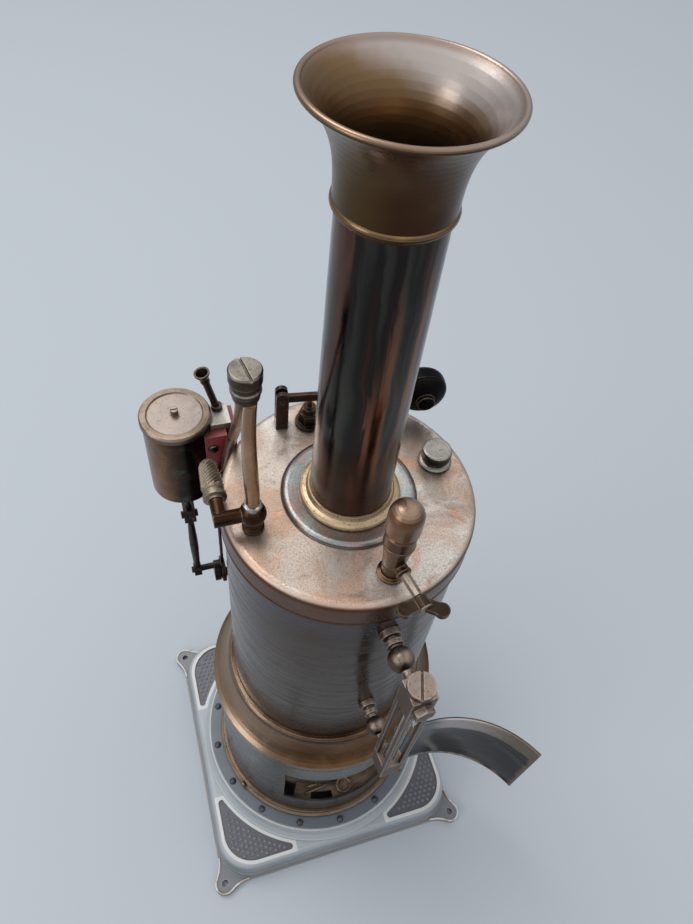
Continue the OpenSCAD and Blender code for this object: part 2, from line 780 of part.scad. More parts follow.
module gauge_bottom_fitting() {
  color(bronze) gauge_frame() {
    difference() {
      gauge_arm(gauge_low, 3.6, 3.1);
      shell_room();
    }
    difference() {
      translate([gauge_reach - low_block, -low_block, gauge_low - block_down])
        cube([2 * low_block, 2 * low_block, 10]);
      translate([gauge_reach, 0, gauge_low + 1]) cylinder(d = glass_d + 2 * fit, h = 6);
    }
  }
}

module gauge_cage() {
  z0 = gauge_low + 3 + fit;
  z1 = gauge_z - block_down - fit;
  spread0 = low_block - cage_post / 2;
  color(bronze) gauge_frame() translate([gauge_reach, 0, 0])
    for (sx = [-1, 1], sy = [-1, 1]) translate([sx * spread0, sy * spread0, z0])
      translate([-cage_post / 2, -cage_post / 2, 0]) cube([cage_post, cage_post, z1 - z0]);
}

module gauge_glass() {
  color([0.7, 0.8, 0.8, 0.5]) gauge_frame() translate([gauge_reach, 0, gauge_low + 1 + fit])
    ring(glass_d / 2, glass_d / 2 - 0.7, gauge_l - 4 - 2 * fit);
}

shaft_r = shaft_d / 2;
bearing_r = shaft_r + 2.6;
bracket_x = [shell_r - 11, shell_r - 5];
arm_z = skirt_top + gap;
arm_h = 8;
grip_y = 0.51 * shell_r;

// A bracket that grips the boiler and carries a bearing, between two x faces
module bearing_arm(x, z) {
  w = x[1] - x[0];
  difference() {
    union() {
      translate([x[0], grip_y, arm_z]) cube([w, crank_y - grip_y, arm_h]);
      translate([x[0], crank_y, z]) rotate([0, 90, 0]) cylinder(r = bearing_r, h = w);
    }
    shell_room();
    translate([x[0] - 1, crank_y, z]) rotate([0, 90, 0]) cylinder(r = shaft_r + fit, h = w + 2);
  }
}

module engine_column() {
  w = head_x[1] - head_x[0];
  chest_l = 5.4;
  head_h = 27;
  color(iron_red) {
    bearing_arm(head_x, crank_z);
    difference() {
      union() {
        translate([head_x[0], crank_y - 1.6, crank_z + bearing_r - 1])
          cube([w, 3.2, head_top - crank_z - bearing_r + 1]);
        translate([head_x[0], head_y[0] + 3.4, head_top - head_h])
          cube([w, head_y[1] - head_y[0] - 3.4, head_h]);
        translate([head_x[0] - chest_l, head_y[0], head_top - 20]) cube([chest_l + 2.2, 10, 20]);
        translate([head_x[0], grip_y, head_top - head_h]) cube([w, head_y[0] + 4 - grip_y, 6]);
      }
      shell_room();
      translate([-cyl_x, crank_y, crank_z]) cylinder(r = cyl_d / 2 + fit, h = cyl_top - crank_z);
    }
  }
}

module shaft_bracket() {
  color(iron_red) bearing_arm(bracket_x, crank_z);
}

cyl_r = cyl_d / 2;
cyl_z = cyl_top - cyl_l;
sheave_x = 10.5 - cyl_x;
strap_t = 1.6;
spindle_at = sheave_x + strap_t / 2;
spindle_r = 0.7;

module engine_cylinder() {
  color(bronze) translate([-cyl_x, crank_y, 0]) difference() {
    union() {
      turned([
        [0, cyl_z], [cyl_r - 1.6, cyl_z], [cyl_r, cyl_z + 1.4], [cyl_r, cyl_top - 2.4],
        [0, cyl_top - 2.4]
      ]);
      translate([0, 0, cyl_z - 4]) cylinder(r = 3.6, h = 6);
      translate([cyl_x + spindle_at, 0, cyl_z - 3]) cylinder(r = 2, h = 12);
    }
    translate([0, 0, cyl_z - 5]) cylinder(r = 1.2 + fit, h = 8);
    translate([cyl_x + spindle_at, 0, cyl_z - 4]) cylinder(r = spindle_r + fit, h = 8.5);
  }
}

module cylinder_lid() {
  r = cyl_r + 0.6;
  color(bronze) translate([-cyl_x, crank_y, cyl_top - 2.4]) {
    turned([
      [0, 0], [r, 0], [r, 1.8], [r - 0.5, 2.4], [r - 2.4, 2.4], [r - 2.8, 1.9], [0, 1.9]
    ]);
    translate([0, 0, 1.9]) difference() {
      cylinder(r = 1.3, h = 2.4);
      translate([-2, -0.3, 1.8]) cube([4, 0.6, 1]);
    }
  }
}

module chest_cover() {
  color(casting_grey) difference() {
    translate([head_x[0] - 2.7, head_y[0] + 3, chest_z]) cube([7, head_y[1] - head_y[0] - 3.6, 2.6]);
    translate([-cyl_x, crank_y, chest_z - 1]) cylinder(r = cyl_d / 2 + fit, h = 5);
  }
}

module exhaust_pipe() {
  foot = [head_x[0] + 0.8, crank_y + 1.4, chest_z + 2.6];
  color(bronze) translate(foot) {
    cylinder(r = 1.9, h = 1.6);
    rotate([0, -12.5, 0]) {
      translate([0, 0, 0.6]) cylinder(r = 1.25, h = 14.4);
      translate([0, 0, 14]) difference() {
        turned([[0, 0], [1.6, 0], [1.6, 2], [2.6, 3.8], [2.6, 4.4], [0, 4.4]]);
        translate([0, 0, 1]) turned([[0, 0], [0.9, 0], [0.9, 1.2], [2.1, 3.5], [0, 3.5]]);
      }
    }
  }
}

pin_z = crank_z + throw;
cross_z = pin_z + rod_l;
fork_t = 1.3;
eye_t = 2;

// A fork open towards -Z, its slot running along Y
module fork(h, slot_h) {
  difference() {
    translate([-eye_t / 2 - fork_t, -2.4, -3]) cube([eye_t + 2 * fork_t, 4.8, h + 3]);
    translate([-eye_t / 2 - fit, -4, -4]) cube([eye_t + 2 * fit, 8, slot_h + 4]);
  }
}

module piston_rod() {
  color(bronze) translate([-cyl_x, crank_y, cross_z]) {
    fork(5, 2.4 + gap);
    for (m = [0, 1]) mirror([m, 0, 0]) translate([eye_t / 2 + fork_t - eps, 0, 0]) rotate([0, 90, 0])
      cylinder(r = 1.5, h = 1);
    translate([0, 0, 5 - eps]) cylinder(r = 1.2, h = cyl_z - cross_z - 5 + 2);
  }
}

module connecting_rod() {
  color(blued) translate([-cyl_x, crank_y, pin_z]) difference() {
    union() {
      rotate([0, 90, 0]) translate([0, 0, -1.6]) cylinder(r = 3, h = 3.2);
      translate([0, 0, rod_l]) rotate([0, 90, 0]) translate([0, 0, -eye_t / 2]) cylinder(r = 2.2, h = eye_t);
      turned([
        [0, 2.4], [1.2, 2.4], [1.5, 0.2 * rod_l], [1.75, 0.4 * rod_l], [1.8, 0.5 * rod_l],
        [1.75, 0.6 * rod_l], [1.4, 0.8 * rod_l], [1.2, rod_l - 6], [0, rod_l - 6]
      ]);
      translate([-eye_t / 2, -1.2, rod_l - 7]) cube([eye_t, 2.4, 6]);
    }
    rotate([0, 90, 0]) translate([0, 0, -5]) cylinder(r = 1.4 + fit, h = 10);
  }
}

crank_x = 8.5 - cyl_x;
crank_t = 2.6;
throw_e = 2;
sheave_r = shaft_r + throw_e + 0.6;
wheel_x = shell_r + 11;

module crankshaft() {
  color(blued) {
    translate([crank_x, crank_y, crank_z]) rotate([0, 90, 0])
      cylinder(r = shaft_r, h = wheel_x + wheel_w + 1 - crank_x);
    translate([crank_x - crank_t / 2, crank_y, crank_z]) {
      rotate([0, 90, 0]) cylinder(r = 3.2, h = crank_t);
      translate([0, -2.2, 0]) cube([crank_t, 4.4, throw]);
      translate([0, 0, throw]) rotate([0, 90, 0]) cylinder(r = 2.2, h = crank_t);
      translate([0, 0, throw]) rotate([0, -90, 0]) cylinder(r = 1.4, h = cyl_x + crank_x - crank_t / 2 + 2.6);
    }
    translate([sheave_x - 0.4, crank_y + throw_e, crank_z]) rotate([0, 90, 0])
      cylinder(r = sheave_r, h = strap_t + 0.8);
  }
}

spindle_bottom = cross_z + 9;
valve_eye_t = 1.6;

module eccentric_rod() {
  strap_r = sheave_r + 1.4;
  top = spindle_bottom;
  base = [spindle_at, crank_y + throw_e, crank_z];
  tip = [spindle_at, crank_y, top];
  v = tip - base;
  color(bronze) difference() {
    union() {
      translate([sheave_x, base[1], base[2]]) rotate([0, 90, 0]) cylinder(r = strap_r, h = strap_t);
      translate(base) rotate([0, acos(v[2] / norm(v)), atan2(v[1], v[0])])
        translate([0, 0, strap_r - 0.6]) cylinder(r = 0.7, h = norm(v) - strap_r + 0.6);
      translate(tip) rotate([0, 90, 0]) translate([0, 0, -valve_eye_t / 2])
        cylinder(r = 1.4, h = valve_eye_t);
    }
    translate([sheave_x - 1, base[1], base[2]]) rotate([0, 90, 0]) cylinder(r = sheave_r + fit, h = 5);
  }
}

module valve_spindle() {
  color(bronze) translate([spindle_at, crank_y, spindle_bottom]) {
    difference() {
      translate([-1.6, -1.8, -2.4]) cube([3.2, 3.6, 8.2]);
      translate([-valve_eye_t / 2 - fit, -3, -3])
        cube([valve_eye_t + 2 * fit, 6, 4.4 + throw_e + gap]);
    }
    translate([0, 0, 5.7]) cylinder(r = spindle_r, h = cyl_z - spindle_bottom - 5.7 + 4);
  }
}

module flywheel() {
  r = wheel_d / 2;
  rim = 5;
  color(blued) translate([wheel_x, crank_y, crank_z]) rotate([0, 90, 0]) difference() {
    union() {
      ring(r, r - rim, wheel_w);
      cylinder(r = 6, h = wheel_w);
      for (k = [0 : 5]) rotate([0, 0, 60 * k]) translate([5, -1.6, wheel_w / 2 - 1])
        cube([r - rim - 4.6, 3.2, 2]);
    }
    translate([0, 0, -1]) cylinder(r = shaft_r + fit, h = wheel_w + 2);
  }
}

base_casting();
base_rivets();
firebox_wall();
firebox_band();
burner_tank();
burner_tubes();
door_hinge();
fire_door();
skirt_ring();
boiler_shell();
boiler_bottom();
flue_tube();
boiler_lid();
chimney_collar();
chimney_tube();
chimney_mouth();
filler_plug();
whistle_body();
whistle_bell();
whistle_lever();
safety_valve();
safety_post();
safety_lever();
safety_weight();
stop_valve_body();
stop_valve_handle();
steam_pipe_up();
oil_cup();
steam_pipe_down();
gauge_top_fitting();
gauge_bottom_fitting();
gauge_cage();
gauge_glass();
engine_column();
shaft_bracket();
engine_cylinder();
cylinder_lid();
chest_cover();
exhaust_pipe();
piston_rod();
connecting_rod();
crankshaft();
eccentric_rod();
valve_spindle();
flywheel();
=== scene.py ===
import math

import bmesh
import bpy
from mathutils import Matrix, Vector


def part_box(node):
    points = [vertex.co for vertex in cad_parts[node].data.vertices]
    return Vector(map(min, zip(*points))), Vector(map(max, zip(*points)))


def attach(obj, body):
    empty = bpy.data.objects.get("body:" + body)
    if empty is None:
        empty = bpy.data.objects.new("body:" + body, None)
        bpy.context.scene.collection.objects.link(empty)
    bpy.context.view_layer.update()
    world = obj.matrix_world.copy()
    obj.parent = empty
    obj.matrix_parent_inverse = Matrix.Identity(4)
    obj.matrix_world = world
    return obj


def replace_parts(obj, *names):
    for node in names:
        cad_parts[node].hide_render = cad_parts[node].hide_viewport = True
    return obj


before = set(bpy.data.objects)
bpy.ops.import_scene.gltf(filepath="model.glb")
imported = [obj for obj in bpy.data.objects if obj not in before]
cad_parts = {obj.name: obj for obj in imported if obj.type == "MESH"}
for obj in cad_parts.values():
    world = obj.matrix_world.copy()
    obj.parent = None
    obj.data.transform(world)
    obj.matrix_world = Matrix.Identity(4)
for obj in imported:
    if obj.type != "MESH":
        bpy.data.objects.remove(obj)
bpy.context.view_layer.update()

# Studio: a plain pale floor under a soft sky, with one large soft box over the engine. The camera
# stands where the photograph was taken, a little above the chimney and looking steeply down.
PHOTO_SIZE = (693, 924)
FOCAL_PIXELS = 727.6
FILM_MM = 36
CAMERA_PLACE = (-0.054, -0.1188, 0.425)
CAMERA_DOWN = 0.914
CAMERA_HEADING = math.radians(-23.51)
CAMERA_ROLL = 0.1453

camera = bpy.data.objects.new("camera", bpy.data.cameras.new("camera"))
camera.data.sensor_width = FILM_MM
camera.data.lens = FOCAL_PIXELS * FILM_MM / max(PHOTO_SIZE)
camera.data.clip_start = 0.01
camera.matrix_world = (
    Matrix.Translation(CAMERA_PLACE)
    @ Matrix.Rotation(CAMERA_HEADING, 4, "Z")
    @ Matrix.Rotation(math.pi / 2 - CAMERA_DOWN, 4, "X")
    @ Matrix.Rotation(CAMERA_ROLL, 4, "Z")
)
scene = bpy.context.scene
scene.collection.objects.link(camera)
scene.camera = camera
scene.view_settings.view_transform = "Standard"


class Bench:
    """Places and wires shader nodes in one tree, and keeps the names of the makers' steps short."""

    def __init__(self, tree):
        self.tree = tree

    def feed(self, socket, value):
        if isinstance(value, bpy.types.NodeSocket):
            self.tree.links.new(value, socket)
        elif hasattr(value, "__len__") and len(value) == 3 and socket.type == "RGBA":
            socket.default_value = (*value, 1)
        else:
            socket.default_value = value

    def add(self, kind, setting=None, **inputs):
        node = self.tree.nodes.new("ShaderNode" + kind)
        for key, value in (setting or {}).items():
            setattr(node, key, value)
        for key, value in inputs.items():
            self.feed(node.inputs[key.replace("_", " ")], value)
        return node

    def math(self, operation, *values, clamp=False):
        node = self.add("Math", {"operation": operation, "use_clamp": clamp})
        for socket, value in zip(node.inputs, values):
            self.feed(socket, value)
        return node.outputs[0]

    def times(self, first, *others):
        for other in others:
            first = self.math("MULTIPLY", first, other)
        return first

    def scaled(self, value, factor, offset):
        return self.math("MULTIPLY_ADD", value, factor, offset)

    def apart(self, value, level):
        """How far a value is from a level, either way."""
        return self.math("ABSOLUTE", self.math("SUBTRACT", value, level))

    def radius(self, x, y):
        return self.math("SQRT", self.math("ADD", self.times(x, x), self.times(y, y)))

    def vector(self, operation, *values, out="Vector"):
        node = self.add("VectorMath", {"operation": operation})
        for socket, value in zip(node.inputs, values):
            self.feed(socket, value)
        return node.outputs[out]

    def combine(self, x, y, z):
        return self.add("CombineXYZ", X=x, Y=y, Z=z).outputs[0]

    def axes(self, place):
        return self.add("SeparateXYZ", Vector=place).outputs

    def spread(self, value, low, high, start=0.0, end=1.0):
        """The value's part from low to high, spread smoothly over start to end."""
        node = self.add("MapRange", {"interpolation_type": "SMOOTHSTEP"}, Value=value)
        for name, number in zip(("From Min", "From Max", "To Min", "To Max"), (low, high, start, end)):
            self.feed(node.inputs[name], number)
        return node.outputs[0]

    def noise(self, place, scale, detail=4.0, roughness=0.55, distortion=0.0):
        node = self.add("TexNoise", Vector=place, Scale=scale, Detail=detail, Roughness=roughness)
        self.feed(node.inputs["Distortion"], distortion)
        return node.outputs["Fac"]

    def blend(self, share, first, second):
        """Two colours mixed by a mask."""
        node = self.add("Mix", {"data_type": "RGBA"})
        for index, value in ((0, share), (6, first), (7, second)):
            self.feed(node.inputs[index], value)
        return node.outputs[2]

    def here(self):
        return self.add("TexCoord").outputs["Object"]


sky = bpy.data.worlds.new("studio_sky")
sky.use_nodes = True
scene.world = sky
SKY_HORIZON = (0.26, 0.27, 0.29)
SKY_ZENITH = (0.97, 0.98, 1.0)
SKY_STRENGTH = 0.95
sky_bench = Bench(sky.node_tree)
sky_up = sky_bench.axes(sky_bench.add("TexCoord").outputs["Generated"])[2]
sky_share = sky_bench.spread(sky_up, -0.1, 0.8)
sky_light = sky.node_tree.nodes["Background"]
sky_bench.feed(sky_light.inputs["Color"], sky_bench.blend(sky_share, SKY_HORIZON, SKY_ZENITH))
sky_light.inputs["Strength"].default_value = SKY_STRENGTH

# Each lamp: name, place, size in metres, watts, all aimed at the middle of the boiler
LAMP_AIM = Vector((0, 0, 0.17))
LAMPS = [
    ("soft_box", (-0.35, 0.55, 1.35), 0.8, 6.0),
    ("side_fill", (-1.2, -0.3, 0.7), 0.7, 3.0),
]
for lamp_name, lamp_place, lamp_size, lamp_watts in LAMPS:
    lamp = bpy.data.objects.new(lamp_name, bpy.data.lights.new(lamp_name, "AREA"))
    lamp.data.shape = "DISK"
    lamp.data.size = lamp_size
    lamp.data.energy = lamp_watts
    lamp.location = lamp_place
    lamp.rotation_euler = (LAMP_AIM - Vector(lamp_place)).to_track_quat("-Z", "Y").to_euler()
    scene.collection.objects.link(lamp)

FLOOR_HALF = 4.0
FLOOR_COLOUR = (0.45, 0.49, 0.53)
bpy.ops.mesh.primitive_plane_add(size=2 * FLOOR_HALF)
floor = bpy.context.object
floor.name = "floor"
floor_paint = bpy.data.materials.new("floor_paint")
floor_paint.use_nodes = True
floor_shader = floor_paint.node_tree.nodes["Principled BSDF"]
floor_shader.inputs["Base Color"].default_value = (*FLOOR_COLOUR, 1)
floor_shader.inputs["Roughness"].default_value = 0.7
floor.data.materials.append(floor_paint)


# Handling: what years of hands, oil and polish leave on any piece. Patches is the slow drift of the
# surface, Specks the small dark spots, and Rubbed the bright wear along edges.
def new_effect(name, inputs, outputs):
    """A shader node group with named numbers in and named masks, colours or heights out."""
    tree = bpy.data.node_groups.new(name, "ShaderNodeTree")
    for label, value in inputs.items():
        kind = "NodeSocketVector" if hasattr(value, "__len__") else "NodeSocketFloat"
        tree.interface.new_socket(label, in_out="INPUT", socket_type=kind).default_value = value
    for label in outputs:
        tree.interface.new_socket(label, in_out="OUTPUT", socket_type="NodeSocketFloat")
    start = tree.nodes.new("NodeGroupInput")
    end = tree.nodes.new("NodeGroupOutput")
    return tree, Bench(tree), start.outputs, end.inputs


handling, wear, given, result = new_effect(
    "handling",
    {"Patch Scale": 60.0, "Speck Scale": 900.0, "Edge Width": 0.0006},
    ("Patches", "Specks", "Rubbed"),
)
wear_place = wear.here()
wear_patches = wear.noise(wear_place, given["Patch Scale"], 6.0, 0.6, 0.5)
wear.feed(result["Patches"], wear.spread(wear_patches, 0.36, 0.64))
wear_specks = wear.noise(wear_place, given["Speck Scale"], 3.0, 0.6)
wear.feed(result["Specks"], wear.spread(wear_specks, 0.56, 0.7))
wear_round = wear.add("Bevel", {"samples": 4}, Radius=given["Edge Width"]).outputs[0]
wear_flat = wear.add("NewGeometry").outputs["Normal"]
wear_edge = wear.math("SUBTRACT", 1.0, wear.vector("DOT_PRODUCT", wear_round, wear_flat, out="Value"))
wear_patchy = wear.scaled(wear_patches, 1.6, -0.3)
wear_rubbed = wear.math("MULTIPLY", wear.spread(wear_edge, 0.004, 0.06), wear_patchy, clamp=True)
wear.feed(result["Rubbed"], wear_rubbed)

# Grime and shade: dirt that stays in corners and round the feet of fittings, where nothing wipes,
# and painted shade that ambient occlusion lays in the same corners. Its depth is how far from a
# corner it reaches.
grime_and_shade, dirt, given, result = new_effect("grime_and_shade", {"Depth": 0.004}, ("Dirt_And_Shade",))
# Painted shade: ambient occlusion darkens corners and the feet of fittings, mixed with real dirt.
dirt_shut = dirt.add("AmbientOcclusion", {"samples": 6}, Distance=given["Depth"]).outputs["AO"]
dirt_amount = dirt.scaled(dirt.noise(dirt.here(), 300.0), 0.5, 0.7)
dirt_left = dirt.math("MULTIPLY", dirt.spread(dirt_shut, 0.75, 0.25), dirt_amount, clamp=True)
dirt.feed(result["Dirt_And_Shade"], dirt_left)

# Turning marks: the fine rings that a lathe or a wiping cloth leaves round an upright axis, and the
# angle round that axis and the distance from it, by which other films are laid.
turning, lathe, given, result = new_effect(
    "turning_marks",
    {"Centre": (0.0, 0.0, 0.0), "Spacing": 3000.0},
    ("Lines", "Streaks", "Around", "Reach"),
)
lathe_x, lathe_y, lathe_z = lathe.axes(lathe.vector("SUBTRACT", lathe.here(), given["Centre"]))
lathe_angle = lathe.math("ARCTAN2", lathe_y, lathe_x)
lathe_reach = lathe.radius(lathe_x, lathe_y)
lathe_across = lathe.times(lathe.math("ADD", lathe_reach, lathe_z), given["Spacing"])
lathe_turn = [lathe.math(way, lathe_angle) for way in ("SINE", "COSINE")]
lathe_slow = lathe.combine(*lathe_turn, lathe.times(lathe_across, 0.08))
lathe.feed(result["Lines"], lathe.noise(lathe.combine(*lathe_turn, lathe_across), 1.0, 3.0))
lathe.feed(result["Streaks"], lathe.spread(lathe.noise(lathe_slow, 2.5, 5.0), 0.35, 0.65))
lathe.feed(result["Around"], lathe_angle)
lathe.feed(result["Reach"], lathe_reach)


# Base casting: one square iron casting on four ears, sprayed grey. Its raised lining is picked out in
# cream, its corner panels and the flat ring under the rivets are left dark. Its top shoulder carries a
# painted highlight, and a ring of painted shadow lies round the drum's foot.
class Finish(Bench):
    """One surface finish of the engine. Its shader's plain values are set on the shader itself. Wear
    is the scale of its patches and of its specks and the width of its rubbed edges, grimy the depth
    of the corners that are darkened with dirt and painted shade, and turned the centre and spacing of
    its turning marks."""

    def __init__(self, name, wear=None, dirt_and_shade_depth=None, turned=None, **plain):
        self.material = bpy.data.materials.new(name)
        self.material.use_nodes = True
        super().__init__(self.material.node_tree)
        self.shader = self.tree.nodes["Principled BSDF"]
        for key, value in plain.items():
            self.feed(self.shader.inputs[key.replace("_", " ")], value)
        self.place = self.here()
        self.colour = None
        if wear:
            named = dict(zip(("Patch_Scale", "Speck_Scale", "Edge_Width"), wear))
            self.patches, self.specks, self.rubbed = self.effect(handling, **named)
        if dirt_and_shade_depth:
            self.dirt, = self.effect(grime_and_shade, Depth=dirt_and_shade_depth)
        if turned is not None:
            self.lines, self.streaks, self.around, self.reach = self.effect(turning, **turned)

    def effect(self, group, **inputs):
        node = self.tree.nodes.new("ShaderNodeGroup")
        node.node_tree = group
        for key, value in inputs.items():
            self.feed(node.inputs[key.replace("_", " ")], value)
        return node.outputs

    def grain(self, scale, *more):
        """Noise that is fixed to the piece."""
        return self.noise(self.place, scale, *more)

    def upward(self):
        return self.axes(self.add("NewGeometry").outputs["Normal"])[2]

    def facing(self, degree):
        """1 on the side of a turned piece that looks that way, falling to -1 behind."""
        return self.math("COSINE", self.math("SUBTRACT", self.around, math.radians(degree)))

    def mottle(self, first, second):
        """Two colours that drift into each other by patches."""
        return self.blend(self.patches, first, second)

    def coat(self, shade, mask, share=None):
        """Lays a shade over the colour so far, where the mask is or by a share of it."""
        self.colour = self.blend(mask if share is None else self.times(mask, share), self.colour, shade)

    def surface(self, rough, height=None, relief=0.0001, metallic=None, edge=0.00025):
        """Wires the finished colour and roughness, and rounds edges a little wider than the solid's."""
        for key, value in (("Base Color", self.colour), ("Roughness", rough), ("Metallic", metallic)):
            if value is not None:
                self.feed(self.shader.inputs[key], value)
        normal = self.add("Bevel", {"samples": 4}, Radius=edge).outputs[0]
        if height is not None:
            normal = self.add("Bump", Height=height, Distance=relief, Normal=normal).outputs[0]
        self.feed(self.shader.inputs["Normal"], normal)
        return self.material


def part_of(colour, share):
    """The colour, darkened to a share of it."""
    return tuple(share * c for c in colour)


def dress(finish, slot, *nodes):
    """Gives CAD pieces their finish in place of the plain one they came with."""
    for node in nodes:
        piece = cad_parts[node]
        piece.data.materials.clear()
        piece.data.materials.append(finish)


PAINT_GREY = (0.275, 0.31, 0.335)
PAINT_SHADE = (0.15, 0.16, 0.178)
SHOULDER_HIGHLIGHT = (0.42, 0.455, 0.48)
PAINT_CREAM = (0.58, 0.59, 0.58)
PANEL_DARK = (0.082, 0.086, 0.1)
RING_DARK = (0.12, 0.14, 0.17)
WORN_METAL = (0.52, 0.43, 0.3)
PANEL_Z = 0.0156
LINING_TOP = 0.0165
LINING_WIDE = 0.0015
PANEL_CORNER = 0.0428
PANEL_CORNER_R = 0.0144
PANEL_TIP = 0.0253
SHOULDER_Z = 0.013
PLINTH_R = 0.0554
PLINTH_FOOT_R = 0.0586
PLINTH_FOOT_Z = 0.0172
PLINTH_Z = 0.0247
DRUM_SHADOW_R = 0.0486
FLANGE_Z = 0.003


def sprayed_casting():
    """The casting's paint, each of its bands told by height, by reach or by the panel's outline."""
    paint = Finish("grey_enamel", (45.0, 1400.0, 0.0007), 0.006, {},
                   IOR=1.5, Coat_Weight=0.25, Coat_Roughness=0.25)
    z = paint.axes(paint.place)[2]
    level = paint.spread(paint.upward(), 0.75, 0.95)
    past_plinth = paint.spread(paint.reach, PLINTH_FOOT_R, PLINTH_FOOT_R + 0.0003)
    lining = paint.times(paint.spread(z, LINING_TOP - 0.0009, LINING_TOP - 0.0004), past_plinth)
    square = paint.vector("ABSOLUTE", paint.place)
    side_x, side_y, _ = paint.axes(square)
    beside = paint.spread(paint.math("MINIMUM", side_x, side_y), PANEL_TIP - 0.0022, PANEL_TIP - 0.0016)
    corner = paint.vector("SUBTRACT", square, (PANEL_CORNER, PANEL_CORNER, 1.0))
    from_panel = paint.vector("LENGTH", paint.vector("MAXIMUM", corner, (0, 0, 0)), out="Value")
    lining_out = PANEL_CORNER_R + LINING_WIDE
    inside = paint.spread(from_panel, lining_out + 0.0003, lining_out)
    lining = paint.times(lining, paint.times(beside, inside))
    ridge = paint.spread(z, PLINTH_Z + 0.0001, PLINTH_Z + 0.0003)
    lining = paint.math("MAXIMUM", lining, paint.times(ridge, 0.6))
    foot = paint.spread(paint.apart(z, PLINTH_FOOT_Z), 0.0006, 0.0001, 0.0, 0.4)
    lining = paint.math("MAXIMUM", lining, foot)
    panel = paint.times(paint.spread(paint.apart(z, PANEL_Z), 0.00008, 0.00004), level)
    ring = paint.times(paint.spread(paint.reach, PLINTH_R - 0.0009, PLINTH_R - 0.0012), level,
                       paint.spread(z, PLINTH_Z - 0.001, PLINTH_Z - 0.0004))
    paint.colour = paint.mottle(PAINT_GREY, part_of(PAINT_GREY, 0.84))
    paint.coat(PAINT_SHADE, paint.specks, 0.25)
    paint.coat(PAINT_SHADE, paint.spread(z, 0.012, 0.0045, 0.0, 0.45))
    # Painted highlight: the casting's rounded top shoulder is lightened for the light that it catches.
    paint.coat(SHOULDER_HIGHLIGHT, paint.spread(z, SHOULDER_Z, LINING_TOP, 0.0, 0.6))
    paint.coat(PAINT_SHADE, paint.times(paint.spread(z, FLANGE_Z + 0.0004, FLANGE_Z + 0.0001), level))
    paint.coat(PAINT_CREAM, lining)
    paint.coat(PANEL_DARK, panel)
    paint.coat(RING_DARK, ring)
    # Dirt and painted shade: darkened where ambient occlusion finds corners.
    paint.coat((0.03, 0.03, 0.032), paint.dirt, 0.75)
    # Painted shadow: a near-black ring on the plinth round the drum's foot, where the drum shades it.
    drum_foot_shadow = paint.times(paint.spread(paint.reach, DRUM_SHADOW_R + 0.0014, DRUM_SHADOW_R), level)
    paint.coat((0.018, 0.018, 0.02), drum_foot_shadow, 0.85)
    bare = paint.times(paint.rubbed, paint.spread(z, 0.0045, 0.0025, 0.25, 1.0))
    paint.coat(WORN_METAL, bare)
    gloss = paint.scaled(paint.patches, 0.12, 0.36)
    return paint.surface(gloss, paint.grain(700.0, 5.0), 0.00008, paint.times(bare, 0.9))


dress(sprayed_casting(), "grey_enamel", "base_casting")


# Ear rims: each foot ear carries a thin raised bead along its edge, cast with the base. Its paint is
# worn pale, down to a brassy metal.
def skin(bm, rings, sides):
    """Faces between each ring of corners and the next. A ring of one corner is a tip."""
    for low, high in zip(rings, rings[1:]):
        for k in range(sides):
            n = (k + 1) % sides
            corners = (low[k % len(low)], low[n % len(low)], high[n % len(high)], high[k % len(high)])
            bm.faces.new(list(dict.fromkeys(corners)))


def finished(bm, name):
    """The mesh that its faces make up."""
    mesh = bpy.data.meshes.new(name)
    bm.to_mesh(mesh)
    bm.free()
    return mesh


def tube_mesh(name, path, radius, sides=12):
    """A round bar along the path, closed at both ends. Radius is a number or a function of 0 to 1."""
    bm = bmesh.new()
    last = len(path) - 1
    side = path[1] - path[0]
    side = side.normalized().orthogonal().normalized()
    turns = [2 * math.pi * k / sides for k in range(sides)]
    rings = []
    for step, point in enumerate(path):
        way = (path[min(step + 1, last)] - path[max(step - 1, 0)]).normalized()
        side = (side - way * side.dot(way)).normalized()
        across = way.cross(side)
        reach = radius(step / last) if callable(radius) else radius
        ring = [point + reach * (math.cos(a) * side + math.sin(a) * across) for a in turns]
        rings.append([bm.verts.new(corner) for corner in ring])
    skin(bm, rings, sides)
    bm.faces.new(rings[0][::-1])
    bm.faces.new(rings[-1])
    return finished(bm, name)


def arc(centre, radius, first, last, steps, height):
    """Points of a level arc, its angles in degrees."""
    x, y = centre
    turns = [math.radians(first + (last - first) * k / steps) for k in range(steps + 1)]
    return [Vector((x + radius * math.cos(a), y + radius * math.sin(a), height)) for a in turns]


def settle(name, mesh, finish, body="engine", smooth=True):
    """Makes a piece of a finished mesh, and has it ride on its body."""
    for face in mesh.polygons:
        face.use_smooth = smooth
    piece = bpy.data.objects.new(name, mesh)
    scene.collection.objects.link(piece)
    mesh.materials.append(finish)
    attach(piece, body)
    return piece


BASE_HALF = 0.0625
EAR_CENTRE = 0.061
EAR_R = 0.0052
EAR_FILLET = 0.016
RIM_R = 0.00048
RIM_IN = 0.00055

